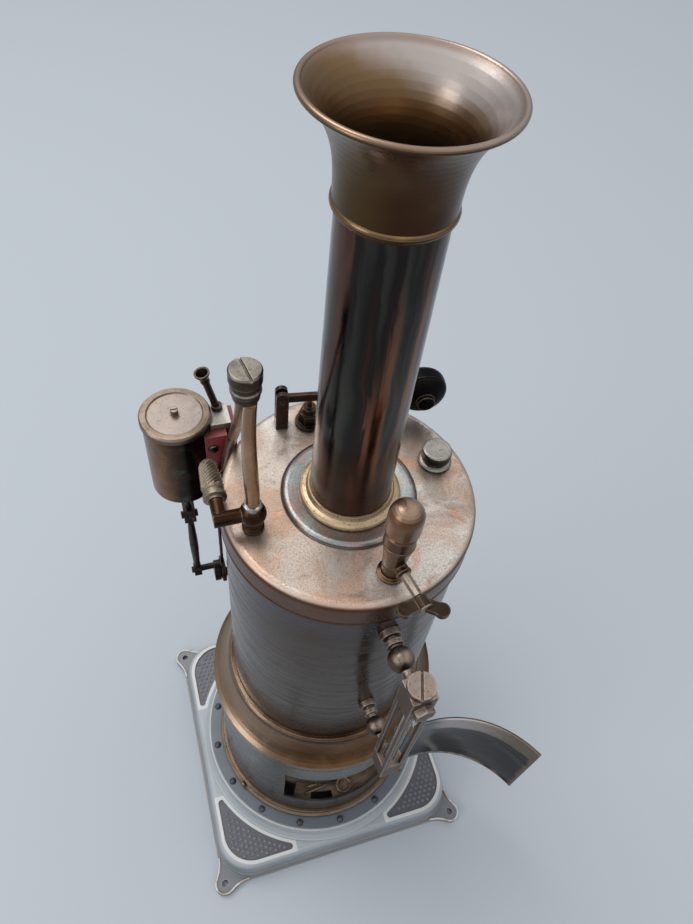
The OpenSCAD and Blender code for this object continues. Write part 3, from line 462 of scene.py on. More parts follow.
rim = Finish("rim_paint", (160.0, 1400.0, 0.0004), IOR=1.5)
rim_brass = rim.spread(rim.patches, 0.45, 0.85)
rim.colour = rim.blend(rim_brass, (0.6, 0.62, 0.6), WORN_METAL)
rim.coat(PAINT_SHADE, rim.specks, 0.4)
rim_paint = rim.surface(rim.scaled(rim_brass, -0.1, 0.4), metallic=rim.times(rim_brass, 0.9))
fillet_x = BASE_HALF + EAR_FILLET
fillet_y = EAR_CENTRE - math.sqrt((EAR_R + EAR_FILLET) ** 2 - (fillet_x - EAR_CENTRE) ** 2)
fillet_turn = math.degrees(math.atan2(EAR_CENTRE - fillet_y, fillet_x - EAR_CENTRE))
rim_z = FLANGE_Z + 0.0001
rim_half = arc((fillet_x, fillet_y), EAR_FILLET + RIM_IN, 180, 180 - fillet_turn, 12, rim_z)[:-1]
rim_bow = arc((EAR_CENTRE, EAR_CENTRE), EAR_R - RIM_IN, -fillet_turn, 90 + fillet_turn, 28, rim_z)
rim_path = rim_half + rim_bow + [Vector((p.y, p.x, p.z)) for p in reversed(rim_half)]
for quarter in range(4):
    rim_name = f"ear_rim_{quarter + 1}"
    rim_mesh = tube_mesh(rim_name, rim_path, RIM_R)
    rim_mesh.transform(Matrix.Rotation(quarter * math.pi / 2, 4, "Z"))
    settle(rim_name, rim_mesh, rim_paint)

# Tread studs: the corner panels are cast with rows of small round pimples, half a millimetre high.
# They are left dark like the panel, and rubbed grey on top.
STUD_PITCH = 0.003
STUD_R = 0.00092
STUD_HEIGHT = 0.0005
STUD_SIDES = 8
STUD_DOME = ((1.0, -0.1), (0.85, 0.55), (0.5, 0.9), (0.0, 1.0))
PANEL_HALF = 0.0572
PANEL_ARC_R = 0.0606


def stud_centres():
    """Where studs fit in the corner panel, in the first quarter of the base."""
    room = STUD_R + 0.0004
    corner = PANEL_HALF - PANEL_CORNER_R
    count = int(PANEL_HALF / STUD_PITCH) * 2
    for place in range(count * count):
        row, column = divmod(place, count)
        x = row * STUD_PITCH * 0.75
        y = (column + 0.5 * (row % 2)) * STUD_PITCH * 0.9
        in_square = max(x, y) <= PANEL_HALF - room and math.hypot(x, y) >= PANEL_ARC_R + room
        if in_square and math.hypot(max(x - corner, 0), max(y - corner, 0)) < PANEL_CORNER_R - room:
            yield x, y


def stud_mesh():
    """All the studs of the four panels as one mesh."""
    bm = bmesh.new()
    for quarter in range(4):
        turn = Matrix.Rotation(quarter * math.pi / 2, 4, "Z")
        for x, y in stud_centres():
            rings = []
            for reach, rise in STUD_DOME:
                steps = STUD_SIDES if reach else 1
                ring = arc((x, y), reach * STUD_R, 0, 360, steps, PANEL_Z + rise * STUD_HEIGHT)[:-1]
                rings.append([bm.verts.new(turn @ corner) for corner in ring])
            skin(bm, rings, STUD_SIDES)
            bm.faces.new(rings[0][::-1])
    return finished(bm, "tread_studs")


tread = Finish("tread_dark", (120.0, 2200.0, 0.0004), IOR=1.5)
tread.colour = tread.mottle((0.14, 0.145, 0.165), (0.18, 0.185, 0.2))
tread.coat((0.3, 0.3, 0.31), tread.rubbed)
tread_dark = tread.surface(tread.scaled(tread.patches, 0.15, 0.38))
settle("tread_studs", stud_mesh(), tread_dark)

# Rivets: iron dome heads that hold the firebox's floor to the plinth. They are painted dark like the
# ring they stand in, glossy, with dirt and painted shade round their feet.
rivet = Finish("rivet_paint", (300.0, 2500.0, 0.0006), 0.0015, IOR=1.5)
rivet.colour = rivet.mottle((0.06, 0.065, 0.078), (0.035, 0.038, 0.045))
# Dirt and painted shade: darkened where ambient occlusion finds the rivets' feet.
rivet.coat((0.012, 0.012, 0.014), rivet.dirt)
dress(rivet.surface(rivet.scaled(rivet.patches, 0.12, 0.14)), "grey_enamel", "base_rivets")


# Firebox: a rolled sheet drum with a stoke hole, blued and dulled by heat. Its sheet shows blue-grey
# patches, brown scale near the fire and fine level streaks from wiping.
def blued_sheet(name, blue, brown, pale, patch_scale, gloss, brown_share=0.6, steps=(), tint=(),
                inner_r=0.0):
    """Sheet steel blued by heat: blue drifting to brown, streaked and scratched round the drum.
    Steps are (height, width, strength) of level brown stains, tints (height, width, colour) of bands."""
    sheet = Finish(name, (patch_scale, 1500.0, 0.0004), 0.007, {"Spacing": 4200.0}, Metallic=0.85)
    height = sheet.axes(sheet.place)[2]
    stain = sheet.times(sheet.patches, brown_share)
    for level, width, strength in steps:
        near = sheet.times(sheet.spread(sheet.apart(height, level), width, 0.0), strength)
        stain = sheet.math("ADD", stain, near, clamp=True)
    sheet.colour = sheet.blend(stain, blue, brown)
    for level, width, shade in tint:
        sheet.coat(shade, sheet.spread(sheet.apart(height, level), width, 0.25 * width, 0.0, 0.8))
    sheet.coat(pale, sheet.streaks, 0.1)
    sheet.coat(pale, sheet.times(sheet.spread(sheet.lines, 0.62, 0.74), sheet.patches), 0.1)
    sheet.coat((0.03, 0.025, 0.02), sheet.specks, 0.3)
    # Dirt and painted shade: darkened where ambient occlusion finds corners.
    sheet.coat((0.02, 0.016, 0.012), sheet.dirt, 0.8)
    if inner_r:
        scorched = sheet.mottle((0.33, 0.255, 0.19), (0.19, 0.14, 0.105))
        sheet.coat(scorched, sheet.spread(sheet.reach, inner_r + 0.0003, inner_r), 0.9)
    rough = sheet.scaled(sheet.dirt, 0.25, sheet.scaled(sheet.streaks, 0.16, gloss))
    return sheet.surface(rough, sheet.scaled(sheet.lines, 0.18, sheet.grain(900.0)), 0.000008)


FIREBOX_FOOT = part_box("firebox_wall")[0].z
FIREBOX_INNER_R = 0.0456
dress(blued_sheet(
    "firebox_sheet", (0.122, 0.126, 0.126), (0.085, 0.063, 0.047), (0.22, 0.22, 0.215), 55.0, 0.22,
    steps=((FIREBOX_FOOT + 0.006, 0.012, 0.7),), inner_r=FIREBOX_INNER_R,
    tint=((FIREBOX_FOOT + 0.009, 0.014, (0.112, 0.088, 0.074)),),
), "blued_sheet", "firebox_wall")


# Firebox band: a pressed brass band round the drum's foot, closed by a pin. It has gone brown with
# oil and heat.
def aged_brass(name, dark, warm, bright, patch_scale=90.0, gloss=0.3, warm_share=0.7, speck=0.5,
               rubbed=0.8, lines=0.0, metallic=0.95, dirt=0.85, depth=0.004, wiped_and_lit=0.0,
               edge_width=0.0006, coat=0.0, highlight_side=None):
    """Brass or bronze that has browned: dark and warm patches, black specks, edges rubbed bright.
    Wiped is the share by which its tops are lightened, for a cloth's wiping and for a painted
    highlight from above. Held is the side, in degrees, that is painted pale as a highlight."""
    brass = Finish(name, (patch_scale, 1300.0, edge_width), depth, {"Spacing": 3400.0},
                   Metallic=metallic, Coat_Weight=coat, Coat_Roughness=0.16)
    brass.colour = brass.blend(brass.times(brass.patches, warm_share), dark, warm)
    # Lighter tops: a cloth's wiping, together with a painted highlight of the light from above.
    if wiped_and_lit:
        wiped_and_lit_tops = brass.scaled(brass.patches, 0.4, 0.6)
        wiped_and_lit_tops = brass.times(brass.spread(brass.upward(), 0.45, 0.95, 0.0, wiped_and_lit), wiped_and_lit_tops)
        brass.coat(part_of(bright, 0.75), wiped_and_lit_tops)
    # Painted highlight: the side that faces the given way is laid pale.
    if highlight_side is not None:
        toward_highlight = brass.scaled(brass.patches, 0.1, brass.facing(highlight_side))
        brass.coat(bright, brass.spread(toward_highlight, 0.35, 1.0, 0.0, 0.42))
    if lines:
        brass.coat(bright, brass.streaks, lines)
    brass.coat(part_of(dark, 0.3), brass.specks, speck)
    # Dirt and painted shade: darkened where ambient occlusion finds corners.
    brass.coat((0.016, 0.012, 0.009), brass.dirt, dirt)
    brass.coat(bright, brass.rubbed, rubbed)
    rough = brass.scaled(brass.dirt, 0.25, brass.scaled(brass.patches, 0.14, gloss))
    rough = brass.scaled(brass.rubbed, -0.08, rough)
    relief = brass.grain(1200.0)
    return brass.surface(rough, brass.scaled(brass.lines, 0.5, relief) if lines else relief, 0.000025)


band_brass = aged_brass(
    "band_brass", (0.11, 0.082, 0.058), (0.175, 0.12, 0.076), (0.4, 0.31, 0.21), gloss=0.25, lines=0.25,
)
dress(band_brass, "aged_bronze", "firebox_band")


# Band knob: the domed copper head of the pin that joins the band's two ends. It stands level, and
# points straight out from the drum.
def turned_mesh(name, profile, sides=32):
    """A solid turned about Z from a profile of (radius, height) that starts and ends on the axis."""
    bm = bmesh.new()
    rings = []
    for reach, height in profile:
        turns = [2 * math.pi * k / sides for k in range(sides if reach else 1)]
        rings.append([bm.verts.new((reach * math.cos(a), reach * math.sin(a), height)) for a in turns])
    skin(bm, rings, sides)
    return finished(bm, name)


def stand(mesh, place, way):
    """Stands a mesh that was made about Z at a place, its top pointing the given way."""
    mesh.transform(Matrix.Translation(place) @ Vector(way).to_track_quat("Z", "Y").to_matrix().to_4x4())
    return mesh


def turned_piece(name, profile, sides, place, way, finish, body="engine", smooth=True):
    """A turned solid, stood at its place as a piece of its own."""
    settle(name, stand(turned_mesh(name, profile, sides), place, way), finish, body, smooth)


KNOB_TURN = math.radians(-151.7)
KNOB_REACH, KNOB_Z = 0.0478, 0.0278
knob_way = Vector((math.cos(KNOB_TURN), math.sin(KNOB_TURN), 0))
knob_place = (KNOB_REACH * math.cos(KNOB_TURN), KNOB_REACH * math.sin(KNOB_TURN), KNOB_Z)
knob_profile = [(0, 0), (0.0008, 0), (0.0008, 0.0006), (0.0013, 0.0008), (0.0015, 0.0013),
                (0.0013, 0.0019), (0.0008, 0.0023), (0, 0.0024)]
knob_copper = aged_brass(
    "knob_copper", (0.2, 0.11, 0.08), (0.34, 0.19, 0.14), (0.62, 0.42, 0.32), gloss=0.25, lines=0.25,
)
turned_piece("band_knob", knob_profile, 24, knob_place, knob_way, knob_copper)

# Burner: a brass tank on the firebox floor with a ring of tube over it. Both are dulled and sooty
# from the flame.
dress(aged_brass(
    "burner_brass", (0.34, 0.25, 0.18), (0.52, 0.39, 0.27), (0.75, 0.6, 0.38),
    speck=0.7, dirt=0.5, metallic=0.35, lines=0.25,
), "bright_brass", "burner_tank", "burner_tubes")

# Draught plate: the brass plate that is seen through the stoke hole, cut by two black slots, with
# the burner's wire ring and two drip strips lying on it.
PLATE_IN, PLATE_OUT, PLATE_LOW, PLATE_TOP = 0.0377, 0.045, 0.0412, 0.0424
PLATE_NECK_OUT = 0.0412
RING_R, RING_WIRE_R, STRIP_R = 0.0034, 0.0005, 0.0006
# Places over the plate: radius, degree and height of the ring's middle and of each strip's two ends
RING_AT = (0.0408, -85, 0.0012)
STRIPS = (
    ((0.0428, -112, 0.0006), (0.0388, -97, 0.0022)),
    ((0.0396, -112, 0.0006), (0.0382, -104, 0.0022)),
)


def plate_mesh(name, sectors):
    """Level slabs, each a closed ring sector: inner radius, outer radius, first and last degree."""
    bm = bmesh.new()
    for inner, outer, first, last in sectors:
        steps = max(2, round((last - first) / 3))
        rows = []
        for k in range(steps + 1):
            turn = math.radians(first + (last - first) * k / steps)
            edge = ((inner, PLATE_LOW), (outer, PLATE_LOW), (outer, PLATE_TOP), (inner, PLATE_TOP))
            rows.append([bm.verts.new((r * math.cos(turn), r * math.sin(turn), z)) for r, z in edge])
        bm.faces.new(rows[0])
        bm.faces.new(list(reversed(rows[-1])))
        for low, high in zip(rows, rows[1:]):
            for k in range(4):
                bm.faces.new((low[k], high[k], high[(k + 1) % 4], low[(k + 1) % 4]))
    bmesh.ops.recalc_face_normals(bm, faces=bm.faces)
    return finished(bm, name)


def on_plate(reach, degree, height):
    """A point over the plate, by its radius and angle about the boiler."""
    turn = math.radians(degree)
    return Vector((reach * math.cos(turn), reach * math.sin(turn), PLATE_TOP + height))


plate_brass = aged_brass(
    "plate_brass", (0.12, 0.078, 0.056), (0.27, 0.185, 0.13), (0.62, 0.47, 0.31), speck=0.8, dirt=0.6,
    depth=0.003, metallic=0.5, gloss=0.36, patch_scale=110.0, warm_share=1.0, lines=0.25,
)
plate = plate_mesh("draught_plate", (
    (PLATE_IN, PLATE_OUT, -119, -108), (PLATE_IN, PLATE_NECK_OUT, -107.9, -94),
    (PLATE_IN, PLATE_OUT, -93.9, -56),
))
settle("draught_plate", plate, plate_brass, smooth=False)
ring_place = on_plate(*RING_AT)
ring_path = arc(ring_place.xy, RING_R, 0, 345, 23, ring_place.z)
settle("burner_wire", tube_mesh("burner_wire", ring_path, RING_WIRE_R, 8), plate_brass)
for strip, ends in enumerate(STRIPS):
    strip_name = f"drip_strip_{strip + 1}"
    bar = tube_mesh(strip_name, [on_plate(*end) for end in ends], STRIP_R, 8)
    settle(strip_name, bar, plate_brass)


# Fire door: a curved sheet with rolled edges, blued like the firebox, on a pin between two knuckles.
# Its inner face is tarred black and glossy where it covers the stoke hole, and clean round that.
def sooty_door():
    """The door's finish, laid out as if the door were shut: by height and by angle round the drum."""
    hinge = (0.031239, -0.03723, 0.0)
    opened = math.radians(151)
    inner_r = 0.0482
    hole_low, hole_high = 0.0464, 0.0849
    far_turn, near_turn = math.radians(-123.5), math.radians(-66)
    door = Finish("door_sheet", (70.0, 1500.0, 0.0004), Metallic=0.85)
    shut = door.add("VectorRotate", {"rotation_type": "Z_AXIS"}, Vector=door.place, Center=hinge,
                    Angle=-opened)
    x, y, z = door.axes(shut.outputs["Vector"])
    turn = door.math("ARCTAN2", y, x)
    wander = door.math("SUBTRACT", door.grain(130.0, 5.0), 0.5)
    wavy_z = door.scaled(wander, 0.006, z)
    wavy_turn = door.scaled(wander, 0.14, turn)
    streaks = door.noise(door.combine(door.times(turn, 1.2), 0.0, door.times(z, 260.0)), 1.0)
    inner = door.spread(door.radius(x, y), inner_r + 0.0001, inner_r - 0.0001)
    soot = door.times(
        door.spread(wavy_z, hole_low - 0.001, hole_low + 0.0015), inner,
        door.spread(wavy_z, hole_high + 0.0015, hole_high - 0.001),
        door.spread(wavy_turn, far_turn - 0.02, far_turn + 0.03),
        door.spread(wavy_turn, near_turn + 0.08, near_turn - 0.06),
    )
    toward_hinge = door.spread(turn, math.radians(-115), math.radians(-78))
    door.colour = door.blend(toward_hinge, (0.2, 0.15, 0.095), (0.56, 0.5, 0.47))
    door.coat((0.16, 0.18, 0.2), door.spread(turn, math.radians(-74), math.radians(-62)))
    outer = door.mottle((0.105, 0.112, 0.116), (0.075, 0.058, 0.045))
    door.colour = door.blend(inner, outer, door.colour)
    door.coat((0.1, 0.08, 0.06), streaks, 0.35)
    tar = door.blend(door.spread(streaks, 0.5, 0.62), (0.002, 0.002, 0.0025), (0.06, 0.048, 0.04))
    door.coat(tar, soot)
    door.coat((0.02, 0.017, 0.014), door.specks, 0.3)
    door.coat((0.3, 0.24, 0.16), door.rubbed, 0.5)
    rough = door.scaled(soot, -0.1, door.scaled(streaks, 0.12, 0.2))
    return door.surface(rough, door.scaled(streaks, 0.5, door.grain(500.0)), 0.00004)


dress(sooty_door(), "blued_sheet", "fire_door")
dress(band_brass, "aged_bronze", "door_hinge")

# Skirt ring: a spun bronze ogee that steps the firebox in to the boiler and covers their joint. Its
# upper ridge is rubbed, and its left side carries a painted highlight.
dress(aged_brass(
    "skirt_bronze", (0.11, 0.056, 0.027), (0.178, 0.098, 0.048), (0.5, 0.38, 0.28),
    patch_scale=40.0, gloss=0.2, speck=0.2, lines=0.08, rubbed=1.0, edge_width=0.0005, highlight_side=178,
), "aged_bronze", "skirt_ring")

# Boiler shell: a drawn steel drum, blued and scratched level by wiping, brown close to its foot and
# violet under the lid. Its floor and the flue through it are copper.
SHELL_FOOT, SHELL_TOP = [corner.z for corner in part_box("boiler_shell")]
dress(blued_sheet(
    "shell_sheet", (0.044, 0.03, 0.021), (0.04, 0.019, 0.008), (0.14, 0.115, 0.09), 24.0, 0.17, 0.85,
    steps=((SHELL_FOOT + 0.018, 0.022, 0.9),), tint=((SHELL_TOP - 0.01, 0.012, (0.05, 0.042, 0.056)),),
), "blued_sheet", "boiler_shell")
dress(aged_brass(
    "inner_copper", (0.16, 0.085, 0.05), (0.28, 0.13, 0.07), (0.5, 0.28, 0.16), depth=0.01, lines=0.25,
), "copper", "boiler_bottom", "flue_tube")


# Boiler lid: a spun cap, its top mottled beige, grey and copper-pink, with a ring of grey-green
# verdigris round the chimney, a browner rim, and a bright line where hands rub its edge.
def mottled_lid():
    """The lid's finish, laid in rings about the chimney."""
    ring_out = 0.0206
    lid_r = 0.04
    lid_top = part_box("boiler_lid")[1].z
    lid = Finish("mottled_lid", (40.0, 1500.0, 0.0008), 0.005, {"Spacing": 2200.0}, Metallic=0.9)
    z = lid.axes(lid.place)[2]
    lid.colour = lid.mottle((0.53, 0.425, 0.35), (0.68, 0.45, 0.325))
    grey = lid.spread(lid.grain(34.0, 5.0, 0.6, 0.8), 0.42, 0.6)
    lid.coat((0.8, 0.765, 0.71), grey, 0.85)
    lid.coat((0.43, 0.29, 0.205), lid.spread(lid.facing(185), 0.35, 0.95, 0.0, 0.5))
    pink = lid.spread(lid.grain(52.0, 5.0, 0.65, 1.2), 0.54, 0.65)
    lid.coat((0.74, 0.39, 0.255), pink, 0.8)
    stain = lid.spread(lid.grain(75.0, 6.0, 0.7, 0.6), 0.52, 0.66)
    lid.coat((0.25, 0.19, 0.145), stain, 0.55)
    fine = lid.spread(lid.grain(2400.0, 3.0), 0.35, 0.7)
    lid.coat((0.2, 0.15, 0.115), fine, 0.45)
    on_top = lid.spread(z, lid_top - 0.003, lid_top)
    verdigris = lid.mottle((0.27, 0.34, 0.33), (0.47, 0.52, 0.49))
    violet = lid.spread(lid.grain(150.0, 5.0, 0.7), 0.44, 0.54)
    verdigris = lid.blend(violet, verdigris, (0.43, 0.33, 0.31))
    verdigris = lid.blend(lid.times(fine, 0.5), verdigris, (0.12, 0.12, 0.11))
    lid.coat(verdigris, lid.times(lid.spread(lid.reach, ring_out + 0.0004, ring_out), on_top), 0.9)
    seam = lid.spread(lid.apart(lid.reach, ring_out + 0.0002), 0.0007, 0.0002)
    lid.coat((0.09, 0.07, 0.06), lid.times(seam, on_top), 0.6)
    side = lid.spread(z, lid_top - 0.0014, lid_top - 0.0026)
    lid.coat(lid.mottle((0.055, 0.017, 0.005), (0.09, 0.032, 0.01)), side, 0.95)
    lid.coat((0.12, 0.09, 0.07), lid.specks, 0.4)
    # Dirt and painted shade: darkened where ambient occlusion finds corners.
    lid.coat((0.03, 0.022, 0.016), lid.dirt, 0.9)
    brow = lid.times(lid.spread(lid.reach, lid_r - 0.0022, lid_r - 0.0008), lid.spread(side, 0.8, 0.2))
    lid.coat((0.7, 0.55, 0.44), brow, 0.45)
    rough = lid.scaled(fine, 0.08, lid.scaled(lid.patches, 0.1, 0.3))
    rough = lid.scaled(side, -0.08, rough)
    return lid.surface(rough, lid.scaled(lid.lines, 0.4, lid.grain(1500.0)), 0.00003)


dress(mottled_lid(), "aged_bronze", "boiler_lid")

# Collar: a turned brass flange that seats the chimney on the lid. It is kept bright by wiping, with
# dirt and painted shade left in the corner under the tube.
dress(aged_brass(
    "collar_brass", (0.36, 0.26, 0.16), (0.59, 0.44, 0.28), (0.8, 0.64, 0.42),
    speck=0.9, gloss=0.34, dirt=0.9, lines=0.25,
), "bright_brass", "chimney_collar")


# Chimney: a steel tube, polished and blued. The heat inside has run the blueing to long copper and
# brown streaks, browner towards the lid. A spun bronze mouth with a bead at its foot tops it.
def tempered_tube():
    """Heat colours that run up the tube in long soft streaks."""
    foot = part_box("chimney_tube")[0].z
    tube = Finish("tempered_tube", (60.0, 1600.0, 0.0005), 0.006, {}, Metallic=0.95)
    height = tube.axes(tube.place)[2]

    def drawn_out(around, along, detail):
        """Noise drawn out along the tube, its turns and its lengths set by two scales."""
        turn = tube.math("ADD", tube.around, tube.times(tube.grain(45.0, 2.0), 0.5))
        x, y = (tube.times(tube.math(way, turn), around) for way in ("SINE", "COSINE"))
        return tube.noise(tube.combine(x, y, tube.times(height, along)), 1.0, detail)

    broad = drawn_out(1.3, 5.0, 2.0)
    fine = tube.math("SUBTRACT", drawn_out(9.0, 16.0, 3.0), 0.5)
    ramp = tube.add("ValToRGB", Fac=tube.scaled(fine, 0.12, broad))
    stops = [
        (0.28, (0.022, 0.024, 0.027)), (0.38, (0.054, 0.054, 0.044)), (0.46, (0.02, 0.018, 0.017)),
        (0.52, (0.028, 0.019, 0.016)), (0.58, (0.098, 0.044, 0.03)), (0.63, (0.036, 0.025, 0.022)),
        (0.72, (0.034, 0.04, 0.046)),
    ]
    for position, colour in stops[2:]:
        ramp.color_ramp.elements.new(position)
    elements = sorted(ramp.color_ramp.elements, key=lambda element: element.position)
    for element, (position, colour) in zip(elements, stops):
        element.position = position
        element.color = (*colour, 1)
    tube.colour = ramp.outputs["Color"]
    # Copper run over the fire door, where the flame draws hardest: middle angle, half width, low, high
    runs = ((-92, 9, 0.255, 0.335), (-104, 5, 0.262, 0.312), (-60, 6, 0.27, 0.345))
    for middle, half, low, high in runs:
        away = tube.scaled(fine, 0.3, tube.apart(tube.around, math.radians(middle)))
        run = tube.times(
            tube.spread(away, math.radians(half), math.radians(0.35 * half)),
            tube.spread(height, low, low + 0.02), tube.spread(height, high, high - 0.03),
        )
        tube.coat((0.23, 0.092, 0.05), run, 0.75)
    brown = tube.spread(height, foot + 0.04, foot + 0.006)
    tube.coat((0.095, 0.05, 0.036), brown, 0.7)
    tube.coat((0.02, 0.016, 0.014), tube.specks, 0.3)
    # Dirt and painted shade: darkened where ambient occlusion finds corners.
    tube.coat((0.02, 0.014, 0.01), tube.dirt, 0.8)
    rough = tube.scaled(brown, 0.08, tube.scaled(tube.patches, 0.08, 0.13))
    return tube.surface(rough, tube.grain(600.0), 0.00003)


def smoked_mouth():
    """Brown-black outside with an olive cast. Inside the flare, a pale grey film baked on and a painted
    reflection of the sky, and a painted highlight along the lip.
    """
    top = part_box("chimney_mouth")[1].z
    mouth = Finish("mouth_bronze", (38.0, 1300.0, 0.0008), 0.006, {}, Metallic=0.93, Coat_Weight=0.08,
                   Coat_Roughness=0.2)
    height = mouth.axes(mouth.place)[2]
    upward = mouth.upward()
    inside = mouth.spread(upward, 0.0, 0.06)
    mouth.colour = mouth.mottle((0.05, 0.02, 0.0075), (0.08, 0.041, 0.014))
    mouth.coat((0.088, 0.058, 0.017), mouth.spread(mouth.facing(-165), 0.55, 1.0, 0.0, 0.5))
    mouth.coat((0.24, 0.15, 0.075), inside, 0.85)
    warm = mouth.spread(mouth.grain(70.0, 3.0), 0.52, 0.68)
    deep = mouth.spread(height, top - 0.006, top - 0.018)
    mouth.coat((0.56, 0.34, 0.11), mouth.times(warm, deep, inside), 0.8)
    # Pale film and painted reflection of the sky: laid on the upward faces near the top, more on one side.
    drift = mouth.scaled(mouth.math("SUBTRACT", mouth.grain(55.0), 0.5), 0.01, height)
    drift = mouth.scaled(mouth.facing(15), 0.007, drift)
    film_and_reflection = mouth.times(mouth.spread(drift, top - 0.005, top + 0.002), mouth.spread(upward, 0.05, 0.6))
    mouth.coat((0.48, 0.43, 0.405), film_and_reflection, 0.9)
    # Painted highlight: the upward-facing top of the lip is laid pale.
    lip_highlight = mouth.times(mouth.spread(height, top - 0.0014, top - 0.0006), mouth.spread(upward, 0.1, 0.8))
    mouth.coat((0.3, 0.205, 0.155), lip_highlight, 0.7)
    # Dirt and painted shade: darkened where ambient occlusion finds corners.
    mouth.coat((0.012, 0.009, 0.006), mouth.dirt, 0.25)
    return mouth.surface(mouth.scaled(mouth.patches, 0.1, 0.24), mouth.grain(900.0), 0.000015)


dress(tempered_tube(), "tempered_sheet", "chimney_tube")
dress(smoked_mouth(), "aged_bronze", "chimney_mouth")

# Filler plug: a turned bronze plug, screwed into a bush on the lid. It is nearly black at its side
# and dull brown-grey on top, where it is wiped and where a painted highlight lightens it.
dull_bronze = aged_brass(
    "dull_bronze", (0.022, 0.017, 0.014), (0.052, 0.041, 0.033), (0.58, 0.54, 0.49),
    gloss=0.32, speck=0.6, wiped_and_lit=0.9,
)
dress(dull_bronze, "dark_bronze", "filler_plug")

# Whistle: a turned stem and bell in brown bronze, screwed to the lid, with a lever cock on its side
# arm. The bell has a clear glossy film, and is pale on top from wiping and from a painted highlight.
whistle_bronze = aged_brass(
    "whistle_bronze", (0.15, 0.068, 0.026), (0.225, 0.108, 0.042), (0.8, 0.6, 0.44),
    gloss=0.34, speck=0.1, patch_scale=130.0, rubbed=0.2, wiped_and_lit=0.65, coat=0.6,
)
dark_bronze = aged_brass(
    "dark_bronze", (0.04, 0.027, 0.018), (0.085, 0.052, 0.033), (0.36, 0.28, 0.2),
    gloss=0.25, patch_scale=130.0,
)
whistle_stem = aged_brass(
    "whistle_stem", (0.075, 0.04, 0.02), (0.15, 0.08, 0.038), (0.46, 0.35, 0.24),
    gloss=0.22, speck=0.3, patch_scale=130.0, dirt=1.0, depth=0.003,
)
dress(whistle_bronze, "aged_bronze", "whistle_bell")
dress(whistle_stem, "dark_bronze", "whistle_body")
dress(dark_bronze, "dark_bronze", "whistle_lever")

# Whistle ferrule: a pale sleeve on the side arm, two turned ribs where the arm leaves the stem, and
# the ring that the key turns on.
WHISTLE_AXIS = Vector((0.003419, -0.030006, 0))
ARM_Z = 0.24908
ARM_TURN = math.radians(-79)
SLEEVE_START, KEY_START = 0.0054, 0.01645
RIBS = ((0.00215, 0.0006, 0.0033), (0.00235, 0.0008, 0.0046))  # radius, thickness and start of each
arm_way = Vector((math.cos(ARM_TURN), math.sin(ARM_TURN), 0))
arm_pale = aged_brass(
    "arm_pale", (0.24, 0.2, 0.155), (0.34, 0.275, 0.21), (0.6, 0.51, 0.4),
    speck=0.6, patch_scale=200.0,
)


def on_arm(start):
    """A place on the side arm's axis, by its distance from the whistle's."""
    return WHISTLE_AXIS + arm_way * start + Vector((0, 0, ARM_Z))


def chamfered(radius, height, slope, rise):
    """The profile of a plain bar with chamfered ends."""
    face = radius - slope
    return [(0, 0), (face, 0), (radius, rise), (radius, height - rise), (face, height), (0, height)]


sleeve_profile = chamfered(0.00155, 0.0075, 0.0002, 0.0003)
turned_piece("whistle_arm_sleeve", sleeve_profile, 8, on_arm(SLEEVE_START), arm_way, arm_pale,
             smooth=False)
for rib, (reach, thick, start) in enumerate(RIBS):
    face = reach - 0.1 * thick
    rib_profile = [(0, 0), (face, 0), (reach, thick / 2), (face, thick), (0, thick)]
    turned_piece(f"whistle_rib_{rib + 1}", rib_profile, 32, on_arm(start), arm_way, whistle_stem)
key_profile = chamfered(0.0021, 0.0007, 0.0002, 0.00025)
turned_piece("whistle_key_ring", key_profile, 32, on_arm(KEY_START), arm_way, arm_pale,
             "whistle_cock")

# Safety valve: a hexagon body on the lid, under a lever that turns in a forked post. They are dark
# bronze, and the weight on the lever's end is black iron.
dress(dark_bronze, "dark_bronze", "safety_valve", "safety_post", "safety_lever")
weight = Finish("weight_black", (160.0, 1500.0, 0.0006), IOR=1.12)
weight.colour = weight.mottle((0.002, 0.002, 0.0023), (0.005, 0.005, 0.0058))
weight.coat((0.36, 0.27, 0.16), weight.rubbed)
weight_bare = weight.times(weight.rubbed, 0.9)
weight_black = weight.surface(weight.scaled(weight.patches, 0.14, 0.22), metallic=weight_bare)
dress(weight_black, "black_iron", "safety_weight")

# Stop valve: a ball body on the lid with a screw-down spindle in a handle. The handle's taper is
# knurled, and greyed by fingers.
valve_bronze = aged_brass(
    "valve_bronze", (0.03, 0.013, 0.006), (0.07, 0.033, 0.015), (0.42, 0.33, 0.23),
    gloss=0.24, patch_scale=150.0, dirt=1.0, depth=0.003,
)
handle_bronze = aged_brass(
    "handle_bronze", (0.205, 0.165, 0.122), (0.32, 0.255, 0.185), (0.56, 0.48, 0.37), gloss=0.34, speck=0.7,
    patch_scale=190.0, dirt=1.0, depth=0.0016, edge_width=0.0003, rubbed=1.0,
)
dress(valve_bronze, "aged_bronze", "stop_valve_body")
dress(handle_bronze, "aged_bronze", "stop_valve_handle")

HANDLE_FOOT = (-0.04086, 0.00047, 0.249)
KNURL_START, KNURL_END = 0.0043, 0.0135
KNURL_LOW_R, KNURL_HIGH_R = 0.00312, 0.00238
KNURL_DEPTH = 0.00042
KNURL_AROUND, KNURL_ALONG = 22, 16
knurl_profile = [(0, KNURL_START)]
for row in range(KNURL_ALONG + 1):
    part = row / KNURL_ALONG
    reach = KNURL_LOW_R + (KNURL_HIGH_R - KNURL_LOW_R) * part
    knurl_profile.append((reach, KNURL_START + (KNURL_END - KNURL_START) * part))
knurl_profile.append((0, KNURL_END))
knurl_mesh = turned_mesh("handle_knurling", knurl_profile, KNURL_AROUND)
for number, corner in enumerate(knurl_mesh.vertices[1:-1]):
    row, column = divmod(number, KNURL_AROUND)
    if 0 < row < KNURL_ALONG and (row + column) % 2:
        corner.co.xy *= 1 + KNURL_DEPTH / corner.co.xy.length
